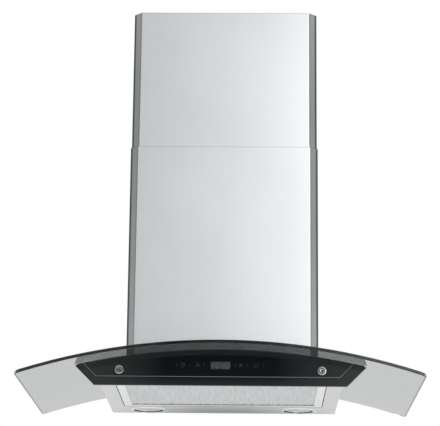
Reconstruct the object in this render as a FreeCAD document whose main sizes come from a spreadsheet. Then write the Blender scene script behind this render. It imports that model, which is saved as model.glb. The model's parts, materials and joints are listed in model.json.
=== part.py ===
"""Wall hood with an arched glass canopy, a black glass front panel and a telescopic duct cover.

Millimetres. The origin is on the wall plane, on the centre line, at the underside of the body.
+X is to the right seen from the front, +Y points into the wall, +Z is up, so every depth in
front of the wall is a negative Y.
"""
import FreeCAD, Part
import math
import os

import Sketcher

Vector = FreeCAD.Vector
doc = FreeCAD.newDocument("GlassHood")

# Driving dimensions. Names that end in _depth are distances in front of the wall.
DIMENSIONS = {
    # glass canopy
    "glass_width": 760,
    "glass_depth": 500,
    "glass_gap": 2,
    "glass_thick": 6,
    "glass_rise": 61,
    "glass_drop": 6,
    "glass_corner": 12,
    "glass_polish": 0.8,
    "notch_half": 135,
    "notch_depth": 272,
    # body
    "body_half": 232,
    "body_depth": 420,
    "sheet": 1,
    "gasket_thick": 1.5,
    "gasket_width": 16,
    "gasket_inset": 3,
    # glass bolts
    "bolt_x": 165,
    "bolt_rear_depth": 40,
    "bolt_front_depth": 240,
    "bolt_radius": 3,
    "bolt_hole_radius": 4.6,
    "washer_radius": 9,
    "bolt_head_radius": 7,
    "bolt_head_high": 4,
    "bolt_stub": 5,
    "nut_radius": 6,
    "nut_high": 4,
    "nut_clear": 0.1,
    "washer_play": 0.2,
    "washer_clear": 0.05,
    # front panel
    "panel_front_depth": 436,
    "panel_thick": 5,
    "panel_bottom": 14.5,
    "panel_bottom_half": 237,
    "panel_slant": 36.6,
    "panel_under_glass": 1,
    "panel_polish": 0.6,
    "cap_x": 190,
    "cap_z": 14.5,
    "cap_radius": 8,
    "cap_high": 4,
    "cap_rim": 1.2,
    "cap_recess_radius": 4.6,
    "cap_recess_deep": 2.4,
    "screw_radius": 2.5,
    "screw_hole_radius": 2.8,
    "screw_inside": 9,
    "cap_nut_radius": 4.5,
    "cap_nut_high": 4,
    "standoff_radius": 7,
    "window_half": 18.3,
    "window_low": 16.8,
    "window_high": 30.9,
    "window_play": 0.15,
    "window_sink": 0.1,
    "housing_half": 118,
    "housing_low": 5,
    "housing_top": 41,
    "housing_deep": 10,
    "housing_wall": 1.6,
    "board_thick": 1.6,
    "module_thick": 5,
    "module_inset": 0.5,
    "module_clear": 0.2,
    "housing_clear": 0.1,
    # filter opening, filter and latch
    "opening_half": 202.5,
    "opening_rear_depth": 89.4,
    "opening_front_depth": 387,
    "filter_half": 201,
    "filter_rear_depth": 92,
    "filter_front_depth": 385,
    "filter_thick": 7,
    "filter_border": 16,
    "filter_front_border": 24,
    "mesh_thick": 4,
    "mesh_tuck": 4,
    "mesh_front_tuck": 1,
    "pivot_depth": 95.5,
    "pivot_z": 3.7,
    "pin_radius": 2.5,
    "pin_play": 0.06,
    "pin_long": 9,
    "pivot_plate_thick": 5,
    "pivot_plate_gap": 1,
    "pivot_plate_front": 7,
    "pivot_plate_rear": 6,
    "latch_half": 16,
    "latch_play": 0.3,
    "latch_tongue": 1.6,
    "latch_tongue_share": 0.6,
    "latch_body_long": 13,
    "latch_body_room": 1,
    "latch_lip_long": 5,
    "latch_floor": 1.4,
    "latch_roof": 1.6,
    "latch_wall": 3,
    "spring_wire": 0.5,
    "spring_share": 0.8,
    "spring_low": 2.2,
    "spring_wide": 2.4,
    # lamps
    "lamp_x": 155.5,
    "lamp_depth": 42,
    "lamp_radius": 37,
    "lamp_hole_radius": 33.5,
    "lamp_collar_radius": 33,
    "lamp_lens_radius": 30,
    "lamp_lens_play": 0.1,
    "lamp_lens_low": 0.6,
    "lamp_lens_thick": 2.4,
    "lamp_lip": 1.6,
    "lamp_collar_high": 12,
    "lamp_can_high": 26,
    "lamp_can_wall": 1.2,
    # duct covers
    "lower_half": 189,
    "lower_front_depth": 284,
    "upper_step": 1.8,
    "cover_chamfer": 16,
    "cover_sheet": 1,
    "bend_radius": 1.2,
    "seam_z": 498,
    "top_z": 785,
    "upper_long": 420,
    "glass_clear": 0.3,
    # blower
    "blower_half": 130,
    "blower_rear_depth": 15,
    "blower_front_depth": 255,
    "blower_top": 250,
    "intake_half": 118,
    "intake_rear_depth": 22,
    "intake_front_depth": 252,
    "fan_depth": 176,
    "fan_z": 152,
    "scroll_half": 60,
    "scroll_wall": 2,
    "scroll_small": 74,
    "scroll_growth": 6,
    "tongue_back": 10,
    "inlet_radius": 50,
    "inlet_ring_foot": 8,
    "inlet_ring_lip": 3,
    "inlet_ring_high": 5,
    "wheel_radius": 66,
    "wheel_inner_radius": 55,
    "wheel_half": 52,
    "wheel_plate": 2,
    "wheel_plate_lap": 2,
    "blade_thick": 1.2,
    "blade_inset": 0.3,
    "blade_lean": 9,
    "blade_bow": 2.2,
    "blade_count": 30,
    "hub_radius": 12,
    "hub_half": 12,
    "shaft_radius": 4,
    "shaft_play": 0.05,
    "shaft_inset": 6,
    "shaft_tip": 3,
    "motor_radius": 42,
    "motor_out": 80,
    "motor_in": 15,
    "motor_end_long": 4,
    "motor_end_taper": 6,
    "motor_band_wide": 4,
    "motor_stand": 5,
    "motor_arm_half": 5,
    "motor_foot_radius": 4,
    "motor_foot_in": 9,
    # outlet
    "outlet_depth": 135,
    "spigot_radius": 74.8,
    "spigot_wall": 1.5,
    "spigot_top": 305,
    "spigot_foot_radius": 76,
    "spigot_foot_high": 2.6,
    "ring_radius": 92,
    "ring_thick": 2,
    "ledge_z": 264,
    "ledge_thick": 1.2,
    "ledge_reach": 3.5,
    "flap_thick": 1.2,
    "flap_radius": 72.4,
    "flap_clear": 0.1,
    "flap_pin_x": 3.8,
    "flap_pin_radius": 1.5,
    "flap_pin_clear": 0.5,
    "flap_knuckle_radius": 2.9,
    "flap_knuckle_clear": 0.2,
    "flap_knuckle_in": 5,
    # electrics, on the sides of the blower box
    "case_front_depth": 190,
    "case_rear_depth": 112,
    "case_low": 92,
    "case_high": 172,
    "case_out": 40,
    "case_wall": 1.5,
    "terminal_half": 25,
    "terminal_out": 14,
    "terminal_low": 8,
    "terminal_high": 20,
    "terminal_way_radius": 2.2,
    "terminal_way_floor": 4,
    "terminal_pitch": 12,
    "gland_radius": 9,
    "gland_nut_radius": 10.5,
    "gland_nut_high": 7,
    "gland_neck_radius": 6.2,
    "gland_inside": 4,
    "gland_bore": 4.2,
    "gland_high": 20,
    "driver_out": 30,
    "driver_low": 80,
    "driver_high": 125,
    "driver_groove_start": 8,
    "driver_groove_pitch": 10,
    "driver_groove_wide": 3,
    "driver_groove_deep": 1.5,
    "driver_groove_count": 6,
    "capacitor_radius": 16,
    "capacitor_gap": 3,
    "capacitor_low": 142,
    "capacitor_high": 202,
    "capacitor_tab_thick": 2,
    "capacitor_tab_wide": 6,
    "capacitor_tab_high": 8,
    "clip_low": 162,
    "clip_high": 174,
    "clip_half": 12,
    "clip_reach": 6,
    "clip_wall": 1.5,
    # brackets
    "bracket_half": 172,
    "bracket_low": 198,
    "bracket_high": 240,
    "bracket_hole_x": 152,
    "bracket_hole_radius": 4,
    "bracket_thick": 2,
    "bracket_web_x": 100,
    "cover_bracket_low": 64,
    "cover_bracket_high": 82,
    "cover_bracket_wide": 20,
    "cover_bracket_rear_depth": 70,
    "cover_bracket_front_depth": 205,
    "small_screw_radius": 2,
    "small_head_radius": 4,
    "small_head_face": 2.6,
    "small_head_high": 2,
    "small_screw_play": 0.2,
    "cover_screw_long": 7,
    "ceiling_screw_inside": 6,
    "ceiling_low": 748,
    "ceiling_high": 780,
    "ceiling_tab_deep": 32,
    "ceiling_hole_x": 120,
    "ceiling_hole_radius": 2.6,
    "body_hole_x": 200,
    "body_hole_z": 18,
    "body_hole_radius": 2.6,
}


# a cutter reaches this far past what it cuts
PAST = 5
# tests on edges: as good as equal, and as good as on a face
SAME = 0.01
NEAR = 1


class Size:
    """A length together with the spreadsheet expression that gives it."""

    def __init__(self, value, text):
        self.value = float(value)
        self.text = text

    def __add__(self, other):
        other = sized(other)
        return Size(self.value + other.value, f"({self.text} + {other.text})")

    def __sub__(self, other):
        other = sized(other)
        return Size(self.value - other.value, f"({self.text} - {other.text})")

    def __mul__(self, other):
        other = sized(other)
        return Size(self.value * other.value, f"({self.text} * {other.text})")

    def __truediv__(self, other):
        other = sized(other)
        return Size(self.value / other.value, f"({self.text} / {other.text})")

    def __neg__(self):
        return self * -1

    def __radd__(self, other):
        return sized(other) + self

    def __rsub__(self, other):
        return sized(other) - self

    def __rmul__(self, other):
        return self * other

    def squared(self):
        return self * self

    def root(self):
        return Size(math.sqrt(self.value), f"sqrt({self.text})")


def sized(number):
    """A plain number as a Size; a Size as it is."""
    if isinstance(number, Size):
        return number
    return Size(number, f"({float(number):.6f})")


def fill_sheet():
    """Write every driving dimension to the spreadsheet under its own name."""
    sheet = doc.addObject("Spreadsheet::Sheet", "Dims")
    for row, (name, value) in enumerate(DIMENSIONS.items(), start=1):
        sheet.set(f"A{row}", name)
        sheet.set(f"B{row}", str(value))
        sheet.setAlias(f"B{row}", name)
    doc.recompute()


def d(name):
    """The driving dimension of that name."""
    return Size(DIMENSIONS[name], f"Dims.{name}")


def bind(thing, property_name, size):
    thing.setExpression(property_name, sized(size).text)


NODES = {}


def keep(node, thing):
    """Make an object the sub-part of that name."""
    thing.Label = node
    NODES[node] = thing
    return thing


# ---------------------------------------------------------------- plain solids and booleans

TURN_Z_TO = {
    "x": FreeCAD.Rotation(Vector(0, 1, 0), 90),
    "y": FreeCAD.Rotation(Vector(1, 0, 0), -90),
    "z": FreeCAD.Rotation(),
}


def bind_place(thing, x, y, z):
    for axis, size in zip("xyz", (x, y, z)):
        bind(thing, f"Placement.Base.{axis}", size)


def block(name, x, y, z):
    """A box; x, y and z are its (low, high) pairs."""
    thing = doc.addObject("Part::Box", name)
    for side, (low, high) in zip(("Length", "Width", "Height"), (x, y, z)):
        bind(thing, side, sized(high) - low)
    bind_place(thing, x[0], y[0], z[0])
    return thing


def rod(name, radius, start, length, along="z"):
    """A cylinder from its start point along +X, +Y or +Z."""
    thing = doc.addObject("Part::Cylinder", name)
    thing.Placement = FreeCAD.Placement(Vector(), TURN_Z_TO[along])
    bind(thing, "Radius", radius)
    bind(thing, "Height", length)
    bind_place(thing, *start)
    return thing


def cone(name, radius, end_radius, start, length, along="z"):
    """A straight taper from radius to end_radius."""
    thing = doc.addObject("Part::Cone", name)
    thing.Placement = FreeCAD.Placement(Vector(), TURN_Z_TO[along])
    bind(thing, "Radius1", radius)
    bind(thing, "Radius2", end_radius)
    bind(thing, "Height", length)
    bind_place(thing, *start)
    return thing


def joined(name, things):
    """One solid from pieces that overlap or touch."""
    thing = doc.addObject("Part::MultiFuse", name)
    thing.Shapes = things
    return thing


def group(name, things):
    """Separate solids kept together under one name."""
    thing = doc.addObject("Part::Compound", name)
    thing.Links = things
    return thing


def cut(name, base, tools):
    """The base with every tool taken away."""
    thing = doc.addObject("Part::Cut", name)
    thing.Base = base
    thing.Tool = tools[0] if len(tools) == 1 else joined(f"{name}_tools", tools)
    return thing


def tube(name, radius, bore, start, length, along="z"):
    """A ring or bush."""
    outer = rod(f"{name}_outer", radius, start, length, along)
    inner = rod(f"{name}_inner", bore, start, length, along)
    return cut(name, outer, [inner])


# ---------------------------------------------------------------- sketched bodies


def new_body(name):
    return doc.addObject("PartDesign::Body", name)


def sketch_on(body, plane, name, offset):
    """A sketch on one of the body's own origin planes, moved along that plane's normal."""
    sketch = body.newObject("Sketcher::SketchObject", name)
    support = next(face for face in body.Origin.OriginFeatures if face.Role == plane)
    sketch.AttachmentSupport = [(support, "")]
    sketch.MapMode = "FlatFace"
    bind(sketch, "AttachmentOffset.Base.z", offset)
    return sketch


def arc_through(start, end, radius, bulge):
    """The smaller arc between two points that bulges the given way, drawn counter-clockwise."""
    chord = end - start
    across = Vector(-chord.y, chord.x, 0).normalize()
    sagitta = radius - math.sqrt(radius**2 - (chord.Length / 2) ** 2)
    if across.dot(bulge) < 0:
        return Part.Arc(start, (start + end) * 0.5 - across * sagitta, end)
    return Part.Arc(end, (start + end) * 0.5 + across * sagitta, start)


def draw_outline(sketch, points, arcs):
    """A closed outline. arcs maps an edge's number to its (radius, way it bulges)."""
    corners = [Vector(sized(x).value, sized(y).value, 0) for x, y in points]
    count = len(corners)
    first = sketch.GeometryCount
    ends = []
    for number, start in enumerate(corners):
        end = corners[(number + 1) % count]
        if number in arcs:
            radius, bulge = arcs[number]
            sketch.addGeometry(arc_through(start, end, radius.value, Vector(*bulge, 0)))
        else:
            sketch.addGeometry(Part.LineSegment(start, end))
        drawn = sketch.Geometry[first + number]
        forward = (drawn.StartPoint - start).Length < (drawn.EndPoint - start).Length
        ends.append((1, 2) if forward else (2, 1))
    for number, (x, y) in enumerate(points):
        edge = first + number
        before = first + (number - 1) % count
        joint = ends[(number - 1) % count][1]
        sketch.addConstraint(Sketcher.Constraint("Coincident", before, joint, edge, ends[number][0]))
        for kind, size in (("DistanceX", sized(x)), ("DistanceY", sized(y))):
            place = Sketcher.Constraint(kind, -1, 1, edge, ends[number][0], size.value)
            bind(sketch, f"Constraints[{sketch.addConstraint(place)}]", size)
    for number, (radius, _) in arcs.items():
        round_size = Sketcher.Constraint("Radius", first + number, radius.value)
        bind(sketch, f"Constraints[{sketch.addConstraint(round_size)}]", radius)


def draw_circle(sketch, x, y, radius):
    centre = Vector(sized(x).value, sized(y).value, 0)
    number = sketch.addGeometry(Part.Circle(centre, Vector(0, 0, 1), radius.value))
    constraints = (
        (Sketcher.Constraint("Radius", number, radius.value), radius),
        (Sketcher.Constraint("DistanceX", -1, 1, number, 3, centre.x), x),
        (Sketcher.Constraint("DistanceY", -1, 1, number, 3, centre.y), y),
    )
    for constraint, size in constraints:
        bind(sketch, f"Constraints[{sketch.addConstraint(constraint)}]", size)


def extrude(body, kind, name, sketch, length):
    """A Pad, or a Pocket, from the sketch along its plane's normal."""
    feature = body.newObject(f"PartDesign::{kind}", name)
    feature.Profile = sketch
    bind(feature, "Length", length)
    feature.Reversed = kind == "Pocket"
    doc.recompute()
    return feature


def pad(body, plane, name, points, start, length, arcs=None):
    sketch = sketch_on(body, plane, f"{name}_outline", start)
    draw_outline(sketch, points, arcs or {})
    return extrude(body, "Pad", name, sketch, length)


def pocket(body, plane, name, points, start, length, arcs=None):
    sketch = sketch_on(body, plane, f"{name}_outline", start)
    draw_outline(sketch, points, arcs or {})
    return take_away(body, name, sketch, length)


def round_pocket(body, plane, name, centres, radius, start, length):
    """Round holes, all in one pocket."""
    sketch = sketch_on(body, plane, f"{name}_outline", start)
    for x, y in centres:
        draw_circle(sketch, x, y, radius)
    return take_away(body, name, sketch, length)


def take_away(body, name, sketch, length):
    """A pocket that has to remove something."""
    before = body.Shape.Volume
    feature = extrude(body, "Pocket", name, sketch, length)
    if not feature.Shape.Volume < before:
        raise ValueError(f"{name} removes nothing")
    return feature


def dress(body, kind, name, size, picked):
    """A Fillet or Chamfer on the edges that picked says yes to."""
    base = body.Tip
    edges = [f"Edge{number}" for number, edge in enumerate(base.Shape.Edges, start=1) if picked(edge)]
    if not edges:
        raise ValueError(f"{name} finds no edges")
    feature = body.newObject(f"PartDesign::{kind}", name)
    feature.Base = (base, edges)
    bind(feature, "Radius" if kind == "Fillet" else "Size", size)
    doc.recompute()
    return feature


def rectangle(x, y):
    """Corner points of a box outline from its (low, high) pairs."""
    return [(x[0], y[0]), (x[1], y[0]), (x[1], y[1]), (x[0], y[1])]


def both_ways(size):
    """A pair that is even about the centre line."""
    return (-sized(size), sized(size))


# ---------------------------------------------------------------- the arch that all follows


def arch_radius():
    """Radius of the glass's underside, from its half width and its rise."""
    half = d("glass_width") / 2
    return (half.squared() + d("glass_rise").squared()) / (2 * d("glass_rise"))


def arch_centre_z():
    return d("glass_rise") - d("glass_drop") - arch_radius()


def arch_z(x, above=0):
    """Height of the glass's underside at x, or of a surface that lies above it."""
    radius = arch_radius() + above
    return arch_centre_z() + (radius.squared() - sized(x).squared()).root()


def arched_band(half, low, high):
    """Outline, and its two arcs, of a sheet between two surfaces that follow the arch."""
    points = [
        (-half, arch_z(half, low)),
        (half, arch_z(half, low)),
        (half, arch_z(half, high)),
        (-half, arch_z(half, high)),
    ]
    arcs = {0: (arch_radius() + low, (0, 1)), 2: (arch_radius() + high, (0, 1))}
    return points, arcs


def under_arch(half, above):
    """Outline, and its arc, of all that lies below a surface that follows the arch."""
    half = half + PAST
    low, high = -d("panel_bottom") - PAST, arch_z(half, above)
    points = [(-half, low), (half, low), (half, high), (-half, high)]
    return points, {2: (arch_radius() + above, (0, 1))}


def bolt_centres(above):
    """Where the four glass bolts pass a surface that lies above the arch."""
    x = d("bolt_x") * (arch_radius() + above) / arch_radius()
    depths = (d("bolt_rear_depth"), d("bolt_front_depth"))
    return [(side * x, -depth) for side in (-1, 1) for depth in depths]


PLATE_TOP = -d("gasket_thick")
PLATE_LOW = PLATE_TOP - d("sheet")


# ---------------------------------------------------------------- body, glass and front panel


def hood_body():
    """Folded tray: underside, sides, front and back, open where the top plate lies on it."""
    body = new_body("hood_body")
    half, depth, sheet = d("body_half"), d("body_depth"), d("sheet")
    top = arch_z(half, PLATE_LOW)
    outline = [(-half, 0), (half, 0), (half, top), (-half, top)]
    pad(body, "XZ_Plane", "tray", outline, 0, depth, {2: (arch_radius() + PLATE_LOW, (0, 1))})
    above = arch_z(0)
    inside = rectangle(both_ways(half - sheet), (sheet, above))
    pocket(body, "XZ_Plane", "tray_inside", inside, sheet, depth - 2 * sheet)
    opening = rectangle(
        both_ways(d("opening_half")), (-d("opening_front_depth"), -d("opening_rear_depth"))
    )
    pocket(body, "XY_Plane", "filter_opening", opening, 0, sheet)
    lamps = [(side * d("lamp_x"), -d("lamp_depth")) for side in (-1, 1)]
    round_pocket(body, "XY_Plane", "lamp_holes", lamps, d("lamp_hole_radius"), 0, sheet)
    caps = [(side * d("cap_x"), d("cap_z")) for side in (-1, 1)]
    round_pocket(
        body, "XZ_Plane", "panel_holes", caps, d("screw_hole_radius"), depth - sheet, sheet
    )
    fixings = [(side * d("body_hole_x"), d("body_hole_z")) for side in (-1, 1)]
    round_pocket(body, "XZ_Plane", "wall_holes", fixings, d("body_hole_radius"), 0, sheet)
    keep("hood_body", body)


def top_plate():
    """Arched plate that closes the body and carries the glass and the blower."""
    body = new_body("top_plate")
    points, arcs = arched_band(d("body_half"), PLATE_LOW, PLATE_TOP)
    pad(body, "XZ_Plane", "plate", points, 0, d("body_depth"), arcs)
    intake = rectangle(
        both_ways(d("intake_half")), (-d("intake_front_depth"), -d("intake_rear_depth"))
    )
    pocket(body, "XY_Plane", "intake", intake, 0, d("glass_rise"))
    centres = bolt_centres(PLATE_TOP)
    round_pocket(
        body, "XY_Plane", "bolt_holes", centres, d("bolt_hole_radius"), 0, d("glass_rise")
    )
    keep("top_plate", body)


def glass_canopy():
    """Arched sheet of glass with a notch at the back for the blower."""
    body = new_body("glass_canopy")
    half = d("glass_width") / 2
    points, arcs = arched_band(half, 0, d("glass_thick"))
    long = d("glass_depth") - d("glass_gap")
    pad(body, "XZ_Plane", "sheet", points, d("glass_gap"), long, arcs)
    notch = rectangle(both_ways(d("notch_half")), (-d("notch_depth"), 0))
    pocket(body, "XY_Plane", "blower_notch", notch, 0, d("top_z"))
    centres = bolt_centres(d("glass_thick") / 2)
    round_pocket(body, "XY_Plane", "glass_holes", centres, d("bolt_hole_radius"), 0, d("top_z"))
    longest = 2 * DIMENSIONS["glass_thick"]

    def at_corner(edge):
        ends = [vertex.Point for vertex in edge.Vertexes]
        across = len(ends) == 2 and abs(ends[0].y - ends[1].y) < SAME and edge.Length < longest
        return across and all(abs(point.x) > half.value - NEAR for point in ends)

    dress(body, "Fillet", "corners", d("glass_corner"), at_corner)
    corner_arc = math.pi * DIMENSIONS["glass_corner"] / 2

    def on_rim(edge):
        centre = edge.CenterOfMass
        long = edge.Length > corner_arc + NEAR
        at_side = abs(centre.x) > half.value - NEAR
        at_front = centre.y < NEAR - DIMENSIONS["glass_depth"]
        return long and (at_side or at_front)

    dress(body, "Chamfer", "polished_rim", d("glass_polish"), on_rim)
    keep("glass_canopy", body)


def glass_gasket():
    """Rubber strip along the front and sides, between top plate and glass."""
    body = new_body("glass_gasket")
    half = d("body_half") - d("gasket_inset")
    points, arcs = arched_band(half, PLATE_TOP, sized(0))
    rear = d("glass_gap") + d("gasket_inset")
    long = d("body_depth") - d("gasket_inset") - rear
    pad(body, "XZ_Plane", "strip", points, rear, long, arcs)
    inside = both_ways(half - d("gasket_width"))
    front = d("body_depth") - d("gasket_inset") - d("gasket_width")
    pocket(body, "XY_Plane", "strip_inside", rectangle(inside, (-front, 0)), 0, d("top_z"))
    keep("glass_gasket", body)


def stand_on_arch(thing, x, depth):
    """Turn a piece built upright on the crown so that it stands square on the arch at x."""
    radius = arch_radius()
    turned = (radius.squared() - sized(x).squared()).root()
    thing.Placement = FreeCAD.Placement(Vector(), FreeCAD.Rotation(Vector(0, 1, 0), 1))
    bind(thing, "Placement.Rotation.Angle", Size(0, f"asin({(sized(x) / radius).text})"))
    # a turn about the arch's centre line, written as a turn about the origin and a shift
    centre = arch_centre_z()
    shift_x = -centre * x / radius
    shift_z = centre - centre * turned / radius
    bind_place(thing, shift_x, -depth, shift_z)


def glass_bolts():
    """Four domed bolts with nuts, and the rubber washers above and below the glass."""
    bolts, washers = [], []
    glass_top = d("glass_rise") - d("glass_drop") + d("glass_thick")
    plate_low = d("glass_rise") - d("glass_drop") + PLATE_LOW
    washer = d("gasket_thick")
    number = 0
    for side in (-1, 1):
        for depth in (d("bolt_rear_depth"), d("bolt_front_depth")):
            number += 1
            head_z = glass_top + washer
            shank = rod(
                f"shank_{number}", d("bolt_radius"), (0, 0, plate_low - d("bolt_stub")),
                head_z - plate_low + d("bolt_stub"),
            )
            head = cone(
                f"head_{number}", d("bolt_head_radius"), d("bolt_radius"), (0, 0, head_z),
                d("bolt_head_high"),
            )
            nut = doc.addObject("Part::Prism", f"nut_{number}")
            nut.Polygon = 6
            bind(nut, "Circumradius", d("nut_radius"))
            bind(nut, "Height", d("nut_high"))
            bind_place(nut, 0, 0, plate_low - d("nut_clear") - d("nut_high"))
            bolt = joined(f"bolt_{number}", [shank, head, nut])
            stand_on_arch(bolt, side * d("bolt_x"), depth)
            bolts.append(bolt)
            for place, low in (("over", glass_top), ("under", glass_top - d("glass_thick") - washer)):
                ring = tube(
                    f"washer_{place}_{number}", d("washer_radius"),
                    d("bolt_radius") + d("washer_play"),
                    (0, 0, low + d("washer_clear")), washer - 2 * d("washer_clear"),
                )
                stand_on_arch(ring, side * d("bolt_x"), depth)
                washers.append(ring)
    keep("glass_bolts", group("bolt_set", bolts))
    keep("bolt_washers", group("washer_set", washers))


def front_glass_panel():
    """Black glass with 45-degree ends and a top edge that follows the canopy."""
    body = new_body("front_glass_panel")
    low = -d("panel_bottom")
    foot, tip = d("panel_bottom_half"), d("panel_bottom_half") + d("panel_slant")
    tip_z = low + d("panel_slant")
    top_arc = (arch_radius() - d("panel_under_glass"), (0, 1))
    points = [(-foot, low), (foot, low), (tip, tip_z), (-tip, tip_z)]
    rear = d("panel_front_depth") - d("panel_thick")
    pad(body, "XZ_Plane", "panel", points, rear, d("panel_thick"), {2: top_arc})
    caps = [(side * d("cap_x"), d("cap_z")) for side in (-1, 1)]
    round_pocket(
        body, "XZ_Plane", "screw_holes", caps, d("screw_hole_radius"), rear, d("panel_thick")
    )
    play = d("window_play")
    window = rectangle(
        both_ways(d("window_half") + play), (d("window_low") - play, d("window_high") + play)
    )
    pocket(body, "XZ_Plane", "window", window, rear, d("panel_thick"))
    front_y = -DIMENSIONS["panel_front_depth"]
    window_long = 2 * (DIMENSIONS["window_half"] + DIMENSIONS["window_play"])

    def on_front_rim(edge):
        flat = all(abs(vertex.Y - front_y) < SAME for vertex in edge.Vertexes)
        return flat and edge.Length > window_long + NEAR

    dress(body, "Chamfer", "polished_rim", d("panel_polish"), on_front_rim)
    keep("front_glass_panel", body)


def panel_fixings():
    """Two spacers behind the panel, and two round-headed screws with a recess."""
    rear = -(d("panel_front_depth") - d("panel_thick"))
    spacers, screws = [], []
    for side, name in ((-1, "left"), (1, "right")):
        x = side * d("cap_x")
        z = d("cap_z")
        spacers.append(
            tube(f"spacer_{name}", d("standoff_radius"), d("screw_hole_radius"), (x, rear, z),
                 -d("body_depth") - rear, "y")
        )
        front = -d("panel_front_depth") - d("cap_high")
        bevel = d("cap_rim")
        rim = cone(
            f"cap_rim_{name}", d("cap_radius") - bevel, d("cap_radius"), (x, front, z), bevel, "y"
        )
        head = rod(
            f"cap_head_{name}", d("cap_radius"), (x, front + bevel, z), d("cap_high") - bevel, "y"
        )
        shank = rod(
            f"cap_shank_{name}", d("screw_radius"), (x, front + d("cap_recess_deep"), z),
            d("panel_front_depth") + d("cap_high") - d("cap_recess_deep") - d("body_depth")
            + d("screw_inside"), "y",
        )
        recess = rod(
            f"cap_recess_{name}", d("cap_recess_radius"), (x, front, z), d("cap_recess_deep"), "y"
        )
        hollow = cut(f"cap_hollow_{name}", joined(f"cap_{name}", [rim, head]), [recess])
        nut = doc.addObject("Part::Prism", f"cap_nut_{name}")
        nut.Polygon = 6
        nut.Placement = FreeCAD.Placement(Vector(), TURN_Z_TO["y"])
        bind(nut, "Circumradius", d("cap_nut_radius"))
        bind(nut, "Height", d("cap_nut_high"))
        bind_place(nut, x, -d("body_depth") + d("sheet"), z)
        screws.append(joined(f"panel_screw_{name}", [hollow, shank, nut]))
    keep("panel_standoffs", group("spacer_set", spacers))
    keep("panel_screws", group("panel_screw_set", screws))


def control_unit():
    """Display window in the panel, and the housing, board and display behind it."""
    panel_rear = -(d("panel_front_depth") - d("panel_thick"))
    low, high = d("window_low"), d("window_high")
    half = d("window_half")
    lens = block(
        "lens", both_ways(half), (d("window_sink") - d("panel_front_depth"), panel_rear),
        (low, high),
    )
    keep("display_window", lens)
    wall = d("housing_wall")
    y = (panel_rear + d("housing_clear"), panel_rear + d("housing_deep"))
    shell = block("shell", both_ways(d("housing_half")), y, (d("housing_low"), d("housing_top")))
    hollow = block(
        "shell_hollow", both_ways(d("housing_half") - wall), (y[0], y[1] - wall),
        (d("housing_low") + wall, d("housing_top") - wall),
    )
    keep("control_housing", cut("housing", shell, [hollow]))
    module_y = panel_rear + d("module_clear")
    board_y = module_y + d("module_thick")
    board = block(
        "board", both_ways(d("housing_half") - 2 * wall), (board_y, board_y + d("board_thick")),
        (d("housing_low") + 2 * wall, d("housing_top") - 2 * wall),
    )
    keep("touch_board", board)
    inset = d("module_inset")
    module = block(
        "module", both_ways(half - inset), (module_y, board_y), (low + inset, high - inset)
    )
    keep("display_module", module)


# ---------------------------------------------------------------- lamps


def lamp(side, name):
    """Recessed lamp: bezel with a collar, lens and closed can."""
    x = side * d("lamp_x")
    y = -d("lamp_depth")
    lip = d("lamp_lip")
    flare = cone(f"{name}_flare", d("lamp_radius") - lip, d("lamp_radius"), (x, y, -lip), lip)
    collar = rod(f"{name}_collar", d("lamp_collar_radius"), (x, y, 0), d("lamp_collar_high"))
    bore = rod(
        f"{name}_bore", d("lamp_lens_radius"), (x, y, -lip), lip + d("lamp_collar_high")
    )
    keep(f"lamp_{name}_bezel", cut(f"{name}_ring", joined(f"{name}_body", [flare, collar]), [bore]))
    lens = rod(
        f"{name}_lens_disc", d("lamp_lens_radius") - d("lamp_lens_play"),
        (x, y, d("lamp_lens_low")), d("lamp_lens_thick"),
    )
    keep(f"lamp_{name}_lens", lens)
    can = rod(
        f"{name}_can", d("lamp_collar_radius"), (x, y, d("lamp_collar_high")),
        d("lamp_can_high") - d("lamp_collar_high"),
    )
    wall = d("lamp_can_wall")
    inside = rod(
        f"{name}_can_inside", d("lamp_collar_radius") - wall, (x, y, d("lamp_collar_high")),
        d("lamp_can_high") - d("lamp_collar_high") - wall,
    )
    keep(f"lamp_{name}_housing", cut(f"{name}_can_shell", can, [inside]))


# ---------------------------------------------------------------- filter and latch


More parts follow.
